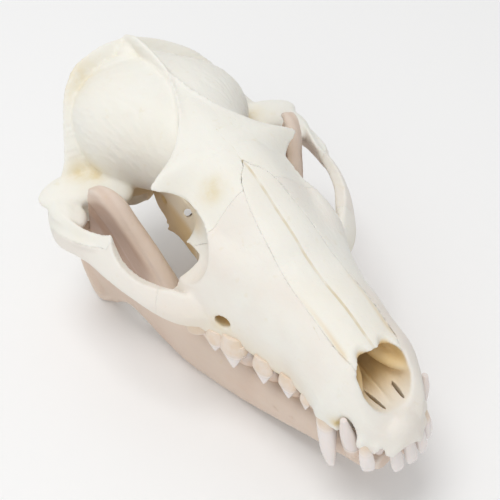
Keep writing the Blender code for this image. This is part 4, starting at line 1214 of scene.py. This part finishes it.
# %% Shared node groups
def new_group(name, inputs, outputs):
    group = bpy.data.node_groups.new(name, "ShaderNodeTree")
    for label, kind, default in inputs:
        socket = group.interface.new_socket(label, in_out="INPUT", socket_type=kind)
        if default is not None:
            socket.default_value = default
    for label, kind in outputs:
        group.interface.new_socket(label, in_out="OUTPUT", socket_type=kind)
    return group, group.nodes.new("NodeGroupInput"), group.nodes.new("NodeGroupOutput")


def add(tree, kind, **values):
    node = tree.nodes.new(kind)
    for key, value in values.items():
        setattr(node, key, value)
    return node


def feed(tree, socket, value):
    """Link a socket to another node's output, or set it to a plain value."""
    if isinstance(value, bpy.types.NodeSocket):
        tree.links.new(value, socket)
    else:
        socket.default_value = value


def set_inputs(node, values):
    for label, value in values.items():
        node.inputs[label].default_value = value


def mix_colour(tree, factor, a, b):
    node = add(tree, "ShaderNodeMix", data_type="RGBA")
    for index, value in ((0, factor), (6, a), (7, b)):
        feed(tree, node.inputs[index], value)
    return node.outputs[2]


def calc(tree, operation, a, b):
    node = add(tree, "ShaderNodeMath", operation=operation)
    for socket, value in zip(node.inputs, (a, b)):
        feed(tree, socket, value)
    return node.outputs[0]


def times(tree, a, b):
    return calc(tree, "MULTIPLY", a, b)


def span(tree, value, low, high, start=0.0, end=1.0):
    """Stretch a value from low..high to start..end, with smooth ends."""
    node = add(tree, "ShaderNodeMapRange", interpolation_type="SMOOTHSTEP")
    tree.links.new(value, node.inputs[0])
    for index, number in zip((1, 2, 3, 4), (low, high, start, end)):
        node.inputs[index].default_value = number
    return node.outputs[0]


def noise_value(tree, coords, scale, detail, rough=0.55, stretch=(1, 1, 1)):
    """Noise on the piece's own coordinates, in lumps of about 1 / scale metres."""
    place = add(tree, "ShaderNodeMapping")
    place.inputs["Scale"].default_value = stretch
    tree.links.new(coords, place.inputs[0])
    node = add(tree, "ShaderNodeTexNoise")
    set_inputs(node, {"Scale": scale, "Detail": detail, "Roughness": rough})
    tree.links.new(place.outputs[0], node.inputs["Vector"])
    return node.outputs[0]


def noise_mask(tree, coords, scale, detail, *stretch):
    """Noise turned into a mask by span's low, high, start and end."""
    return span(tree, noise_value(tree, coords, scale, detail), *stretch)


def attribute(tree, name):
    return add(tree, "ShaderNodeAttribute", attribute_name=name).outputs["Fac"]


print("helpers that add nodes are ready")

# %% The bone's colour
# The pale edge colour is a painted highlight on the bone's convex edges.
PAINTED_EDGE_HIGHLIGHT = (0.93, 0.91, 0.86, 1)
SEAM_BROWN = (0.6, 0.46, 0.2, 1)
MOTTLE = (42, 3.0, 0.35, 0.72)
SPECKS = (420, 2.0, 0.62, 0.8)
STAIN_EDGE = (300, 4.0, 0.3, 0.62, 0.35, 1.0)
SEAM_BREAKS = (160, 2.0, 0.32, 0.6, 0.15, 0.8)
SPECK_STRENGTH, HOLLOW_SHADE_STRENGTH, EDGE_HIGHLIGHT_STRENGTH = 0.12, 0.5, 0.4
COLOUR_INPUTS = (("Coordinates", "NodeSocketVector", None),
                 ("Bone", "NodeSocketColor", (0.87, 0.83, 0.74, 1)),
                 # Shade tints the random mottle, and it is also the painted shade in the hollows.
                 ("Shade", "NodeSocketColor", (0.62, 0.46, 0.33, 1)),
                 ("Stain", "NodeSocketColor", (0.72, 0.55, 0.2, 1)),
                 # This colour is the painted shade in the openings, on the orbit's wall, under the skull's
                 # base, over the teeth and behind the jaw's rim.
                 ("Inside", "NodeSocketColor", (0.5, 0.3, 0.12, 1)),
                 ("Warmth", "NodeSocketFloat", 0.35))


def bone_colour_group():
    """Bone colour from its mottle, then painted shade in its hollows, a painted highlight on its edges, its
    stains, its seams and painted shade in its openings.
    """
    group, start, end = new_group("bone_colour", COLOUR_INPUTS,
                                  (("Colour", "NodeSocketColor"), ("Deep", "NodeSocketFloat")))
    coords = start.outputs["Coordinates"]
    bone, shade, stain, inside, warmth = start.outputs[1:6]
    hollow = attribute(group, "hollow")
    mottle, speck = noise_mask(group, coords, *MOTTLE), noise_mask(group, coords, *SPECKS)
    # deep marks the hollows, which get painted shade.
    deep = span(group, hollow, 0.12, 0.9)
    # edge marks the convex edges, which get a painted highlight.
    edge = span(group, hollow, -0.1, -0.7)
    patch = noise_mask(group, coords, *STAIN_EDGE)
    line = span(group, attribute(group, "seam"), 0.1, 0.34, 1.0, 0.0)
    gaps = noise_mask(group, coords, *SEAM_BREAKS)
    colour = bone
    # The last step mixes in the painted shade of the openings.
    for factor, tint in ((times(group, mottle, warmth), shade),
                         (times(group, speck, SPECK_STRENGTH), stain),
                         (times(group, deep, HOLLOW_SHADE_STRENGTH), shade),
                         (times(group, edge, EDGE_HIGHLIGHT_STRENGTH), PAINTED_EDGE_HIGHLIGHT),
                         (times(group, attribute(group, "stain"), patch), stain),
                         (times(group, line, gaps), SEAM_BROWN),
                         (attribute(group, "inner"), inside)):
        colour = mix_colour(group, factor, colour, tint)
    group.links.new(colour, end.inputs["Colour"])
    group.links.new(deep, end.inputs["Deep"])
    return group


bone_colour = bone_colour_group()
print("steps of the bone's colour:", sum(node.type == "MIX" for node in bone_colour.nodes))

# %% The bone's fine relief
FIBRES = (900, 4.0, 0.6, (1.0, 0.35, 1.0))
PORES = (1500, 2.0, 0.6, 0.75)
SWELLS = (180, 3.0)
PORE_DEPTH = 0.25


def bone_relief_group():
    """Height from fibres along the skull, gentle swells and small pores."""
    group, start, end = new_group(
        "bone_relief", (("Coordinates", "NodeSocketVector", None), ("Grain", "NodeSocketFloat", 0.5)),
        (("Height", "NodeSocketFloat"),))
    coords, grain = start.outputs[:2]
    fibres = noise_value(group, coords, *FIBRES)
    total = calc(group, "ADD", times(group, fibres, grain), noise_value(group, coords, *SWELLS))
    pores = times(group, noise_mask(group, coords, *PORES), PORE_DEPTH)
    total = calc(group, "SUBTRACT", total, pores)
    group.links.new(total, end.inputs["Height"])
    return group


bone_relief = bone_relief_group()
print("shared effects:", bone_colour.name, bone_relief.name)


# %% Bone finishes
BONE_BUMP = (0.55, 0.0002)
BONE_SHADER = {"Subsurface Weight": 0.06, "Subsurface Radius": (0.0012, 0.0008, 0.0005),
               "Specular IOR Level": 0.35}
BONE_GRAIN = 0.6
BONE_ROUGHNESS = (0.5, 0.7)


def new_material(name):
    """A material, its node tree, its Principled shader and its Object coordinates."""
    mat = bpy.data.materials.new(name)
    mat.use_nodes = True
    tree = mat.node_tree
    return mat, tree, tree.nodes["Principled BSDF"], add(tree, "ShaderNodeTexCoord").outputs["Object"]


def add_bump(tree, shader, height, strength, distance):
    bump = add(tree, "ShaderNodeBump")
    set_inputs(bump, {"Strength": strength, "Distance": distance})
    tree.links.new(height, bump.inputs["Height"])
    tree.links.new(bump.outputs["Normal"], shader.inputs["Normal"])


# inside is the colour of the painted shade in the openings and behind the jaw's rim.
def bone_finish(name, bone, shade, inside=(0.76, 0.56, 0.28, 1), warmth=0.3):
    mat, tree, shader, coords = new_material(name)
    mixed = add(tree, "ShaderNodeGroup", node_tree=bone_colour)
    tree.links.new(coords, mixed.inputs["Coordinates"])
    set_inputs(mixed, {"Bone": bone, "Shade": shade, "Inside": inside, "Warmth": warmth})
    tree.links.new(mixed.outputs["Colour"], shader.inputs["Base Color"])
    relief = add(tree, "ShaderNodeGroup", node_tree=bone_relief)
    tree.links.new(coords, relief.inputs["Coordinates"])
    set_inputs(relief, {"Grain": BONE_GRAIN})
    add_bump(tree, shader, relief.outputs["Height"], *BONE_BUMP)
    tree.links.new(span(tree, mixed.outputs["Deep"], 0.0, 1.0, *BONE_ROUGHNESS), shader.inputs["Roughness"])
    set_inputs(shader, BONE_SHADER)
    return mat


# CREAM and ROSY tint the random mottle and the painted shade in the hollows.
IVORY = (0.90, 0.885, 0.82, 1)
CREAM = (0.85, 0.78, 0.64, 1)
ROSY = (0.84, 0.74, 0.66, 1)
# The jaw's colours are darker and pinker than the cranium's: its bone colour with painted shade and a painted
# pink reflection, and its inside colour is the painted shade behind its rim.
finishes = {"braincase": bone_finish("braincase_ivory", IVORY, CREAM),
            "muzzle": bone_finish("muzzle_ivory", IVORY, ROSY, warmth=0.55),
            "nasals": bone_finish("nasal_ivory", (0.90, 0.88, 0.815, 1), CREAM),
            "cheek": bone_finish("cheek_ivory", (0.89, 0.855, 0.79, 1), ROSY, warmth=0.4),
            "jaw": bone_finish("jaw_ivory", (0.74, 0.61, 0.51, 1), (0.64, 0.45, 0.35, 1),
                               inside=(0.42, 0.28, 0.21, 1), warmth=0.45)}
print("bone finishes:", sorted(m.name for m in finishes.values()))

# %% Enamel finishes
ENAMEL_BUMP = (0.15, 0.00006)
ENAMEL_MOTTLE = (380, 3.0, 0.3, 0.7, 0.6, 1.1)
GROWTH_LINES = (1100, 2.0, 0.5, (1.0, 1.0, 0.25))
ENAMEL_ROUGHNESS = (0.24, 0.5)
ENAMEL_SHADER = {"Coat Weight": 0.25, "Coat Roughness": 0.15, "Subsurface Weight": 0.1,
                 "Subsurface Radius": (0.0010, 0.0007, 0.0005)}


def enamel_finish(name, tip, root):
    """Smooth enamel that turns from its tip's colour to its root's near the gum."""
    mat, tree, shader, coords = new_material(name)
    near_gum = attribute(tree, "gum")
    share = times(tree, near_gum, noise_mask(tree, coords, *ENAMEL_MOTTLE))
    tree.links.new(mix_colour(tree, share, tip, root), shader.inputs["Base Color"])
    add_bump(tree, shader, noise_value(tree, coords, *GROWTH_LINES), *ENAMEL_BUMP)
    tree.links.new(span(tree, near_gum, 0.0, 1.0, *ENAMEL_ROUGHNESS), shader.inputs["Roughness"])
    set_inputs(shader, ENAMEL_SHADER)
    return mat


upper_enamel = enamel_finish("upper_enamel", (0.86, 0.80, 0.77, 1), (0.80, 0.66, 0.52, 1))
lower_enamel = enamel_finish("lower_enamel", (0.84, 0.76, 0.72, 1), (0.76, 0.60, 0.48, 1))
print("enamel finishes:", upper_enamel.name, lower_enamel.name)

# %% [markdown]
# The tree takes the points, sets the crown of each point's kind there, realizes the
# instances and gives them their enamel. Canines are single long curves, so they are spikes.

# %% Geometry Nodes tree that sets a row of crowns
def tooth_row_tree():
    """Tree with the inputs Geometry, Crowns, Enamel and Crown Scale."""
    tree = bpy.data.node_groups.new("set_tooth_row", "GeometryNodeTree")
    tree.interface.new_socket("Geometry", in_out="INPUT", socket_type="NodeSocketGeometry")
    for label, kind in (("Crowns", "NodeSocketCollection"), ("Enamel", "NodeSocketMaterial"),
                        ("Crown Scale", "NodeSocketFloat")):
        tree.interface.new_socket(label, in_out="INPUT", socket_type=kind)
    tree.interface.new_socket("Geometry", in_out="OUTPUT", socket_type="NodeSocketGeometry")
    start, end = tree.nodes.new("NodeGroupInput"), tree.nodes.new("NodeGroupOutput")
    chosen = tree.nodes.new("GeometryNodeCollectionInfo")
    chosen.inputs["Separate Children"].default_value = True
    chosen.inputs["Reset Children"].default_value = True
    place = tree.nodes.new("GeometryNodeInstanceOnPoints")
    place.inputs["Pick Instance"].default_value = True

    def named(label, kind):
        node = tree.nodes.new("GeometryNodeInputNamedAttribute")
        node.data_type = kind
        node.inputs["Name"].default_value = label
        return node.outputs["Attribute"]

    scale = tree.nodes.new("ShaderNodeVectorMath")
    scale.operation = "SCALE"
    turn = tree.nodes.new("FunctionNodeEulerToRotation")
    realize = tree.nodes.new("GeometryNodeRealizeInstances")
    paint = tree.nodes.new("GeometryNodeSetMaterial")
    link = tree.links.new
    link(start.outputs["Geometry"], place.inputs["Points"])
    link(start.outputs["Crowns"], chosen.inputs["Collection"])
    link(chosen.outputs["Instances"], place.inputs["Instance"])
    link(named("kind", "INT"), place.inputs["Instance Index"])
    link(named("turn", "FLOAT_VECTOR"), turn.inputs["Euler"])
    link(turn.outputs["Rotation"], place.inputs["Rotation"])
    link(named("size", "FLOAT_VECTOR"), scale.inputs[0])
    link(start.outputs["Crown Scale"], scale.inputs["Scale"])
    link(scale.outputs["Vector"], place.inputs["Scale"])
    link(place.outputs["Instances"], realize.inputs["Geometry"])
    link(realize.outputs["Geometry"], paint.inputs["Geometry"])
    link(start.outputs["Enamel"], paint.inputs["Material"])
    link(paint.outputs["Geometry"], end.inputs["Geometry"])
    return tree


row_tree = tooth_row_tree()
print("nodes in the tree:", len(row_tree.nodes))

# %% Set the rows of teeth
UPPER_GUM = (23.0, -1)
LOWER_GUM = (16.6, 1)
LOWER_CANINE_GUM = (18.6, 1)
GUM_BLEND = (-0.6, 2.0)


def set_row(name, rows, enamel, gum):
    """A finished row of crowns, with its distance from the gum as an attribute."""
    obj = points_mesh(name, rows)
    step = obj.modifiers.new("teeth", "NODES")
    step.node_group = row_tree
    values = {"Crowns": crowns, "Enamel": enamel, "Crown Scale": 1.0}
    for item in row_tree.interface.items_tree:
        if item.in_out == "INPUT" and item.name in values:
            step[item.identifier] = values[item.name]
    bake(obj)
    return finish_teeth(obj, gum)


def finish_teeth(obj, gum):
    """Write how near each point lies to the gum, whose height and side are given."""
    height, side = gum
    past_gum = (points_of(obj)[:, 2] - height) * side
    write_attribute(obj, "gum", 1 - ramp(past_gum, *GUM_BLEND))
    return obj


lower_left, lower_right = (row_points(LOWER_INCISORS, LOWER_TEETH, LOWER_MOLARS, side) for side in (1, -1))
tooth_rows = [set_row("upper_teeth", upper_rows, upper_enamel, UPPER_GUM),
              set_row("lower_teeth_left", lower_left, lower_enamel, LOWER_GUM),
              set_row("lower_teeth_right", lower_right, lower_enamel, LOWER_GUM)]
for row in tooth_rows:
    print(row.name, len(row.data.polygons), "faces")

# %% Canine teeth
CANINE_VOXEL = 0.14
CANINE_ROUNDS = 3
CANINE_FORM = {"sides": 36, "per_span": 10, "flat": 0.86}


def canine(name, path, side, enamel, gum):
    tooth = spike(name, *path, **CANINE_FORM)
    if side < 0:
        tooth = flipped(tooth)
        tooth.name = name
    resurface(tooth, CANINE_VOXEL, CANINE_ROUNDS)
    finish_teeth(tooth, gum)
    tooth.data.materials.clear()
    tooth.data.materials.append(enamel)
    return tooth


canines = [canine(f"{jaw}_canine_{name}", path, side, enamel, gum)
           for jaw, path, enamel, gum in (("upper", UPPER_CANINE, upper_enamel, UPPER_GUM),
                                          ("lower", LOWER_CANINE, lower_enamel, LOWER_CANINE_GUM))
           for name, side in (("left", 1), ("right", -1))]
print("canines:", [c.name for c in canines])

# %% [markdown]
# ## Put every piece in the frame
#
# The pieces are now moved so that the origin is under the middle of the skull, and scaled
# from millimetres to metres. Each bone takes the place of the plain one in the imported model.

# %% Scale, paint and attach
def in_frame(obj, finish=None):
    obj.data.transform(Matrix.Scale(MM, 4) @ Matrix.Translation((0, -MIDDLE, 0)))
    if finish:
        obj.data.materials.clear()
        obj.data.materials.append(finish)
    for face in obj.data.polygons:
        face.use_smooth = True
    obj.data.update()
    return obj


for bone, finish, node in ((braincase, "braincase", "braincase"), (muzzle, "muzzle", "muzzle"),
                           (nasals, "nasals", "nasal_bones"), (cheek_left, "cheek", "zygomatic_left"),
                           (cheek_right, "cheek", "zygomatic_right"), (jaw_left, "jaw", "mandible_left"),
                           (jaw_right, "jaw", "mandible_right")):
    in_frame(bone, finishes[finish])
    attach(bone, "root")
    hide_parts(node)
for tooth in (*tooth_rows, *canines):
    in_frame(tooth)
    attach(tooth, "root")
for shape in list(crowns.objects):
    bpy.data.objects.remove(shape, do_unlink=True)
bpy.data.collections.remove(crowns)
print("bones and teeth attached")

# %% [markdown]
# ## Floor, light and camera
#
# The skull lies on a plain pale floor. Large soft lights keep the shadows weak, as in a
# product photograph. The camera looks down on the skull's right side from the front.

# %% Floor
FLOOR_HALF = 1.5
FLOOR_CORNERS = [(FLOOR_HALF * x, FLOOR_HALF * y, 0) for x, y in ((-1, -1), (1, -1), (1, 1), (-1, 1))]
FLOOR_WHITE = {"Base Color": (0.97, 0.97, 0.97, 1), "Roughness": 0.8}

floor = new_object("pale_floor", FLOOR_CORNERS, [(0, 1, 2, 3)])
paint = bpy.data.materials.new("floor_white")
paint.use_nodes = True
set_inputs(paint.node_tree.nodes["Principled BSDF"], FLOOR_WHITE)
floor.data.materials.append(paint)
print("the floor is", 2 * FLOOR_HALF, "m wide")

# %% Lights
LIGHT_TARGET = Vector((0, 0, 0.03))
LIGHTS = (("key_light", (-0.14, 0.03, 0.8), 0.42, 2.2, (1.0, 0.998, 0.99)),
          ("fill_light", (-0.5, -0.5, 0.4), 0.7, 1.1, (1, 1, 1)),
          ("back_light", (0.1, 0.7, 0.6), 0.6, 0.7, (1, 1, 1)))
SKY_STRENGTH = 0.52

for name, place, size, watts, colour in LIGHTS:
    lamp = bpy.data.lights.new(name, "AREA")
    lamp.shape = "DISK"
    lamp.size = size
    lamp.energy = watts
    lamp.color = colour
    aim = (LIGHT_TARGET - Vector(place)).to_track_quat("-Z", "Y")
    linked(name, lamp).matrix_world = Matrix.Translation(Vector(place)) @ aim.to_matrix().to_4x4()
world = bpy.data.worlds.new("studio")
world.use_nodes = True
set_inputs(world.node_tree.nodes["Background"], {"Color": (1, 1, 1, 1), "Strength": SKY_STRENGTH})
bpy.context.scene.world = world
bpy.context.scene.view_settings.view_transform = "Standard"

# %% Camera at the photograph's angle
AZIMUTH, ELEVATION, ROLL = (math.radians(a) for a in (-30.053, 42.856, -2.852))
DISTANCE = 202.894
AIM = Vector((0, 54, 30))
FOCAL_PIXELS = 910.05
FRAME_PIXELS = 500
CENTRE_PIXEL = (254.996, 256.076)
SENSOR_WIDTH = 36
CLIP_START = 0.01

right = Vector((math.cos(AZIMUTH), math.sin(AZIMUTH), 0))
back = Vector((math.sin(AZIMUTH) * math.cos(ELEVATION), -math.cos(AZIMUTH) * math.cos(ELEVATION),
               math.sin(ELEVATION)))
up = back.cross(right)
turned_right = math.cos(ROLL) * right + math.sin(ROLL) * up
turned_up = -math.sin(ROLL) * right + math.cos(ROLL) * up
lens = bpy.data.cameras.new("photo_camera")
lens.sensor_width = SENSOR_WIDTH
lens.lens = FOCAL_PIXELS * lens.sensor_width / FRAME_PIXELS
lens.shift_x = -(CENTRE_PIXEL[0] - FRAME_PIXELS / 2) / FRAME_PIXELS
lens.shift_y = (CENTRE_PIXEL[1] - FRAME_PIXELS / 2) / FRAME_PIXELS
lens.clip_start = CLIP_START
camera = linked("photo_camera", lens)
camera.matrix_world = Matrix.Translation((AIM + back * DISTANCE - Vector((0, MIDDLE, 0))) * MM) @ Matrix(
    (turned_right, turned_up, back)).transposed().to_4x4()
bpy.context.scene.camera = camera
print("camera lens:", round(lens.lens, 1), "mm")

# %% [markdown]
# ## Finish
#
# Last, the view layer is brought up to date.

# %% Finish
bpy.context.view_layer.update()
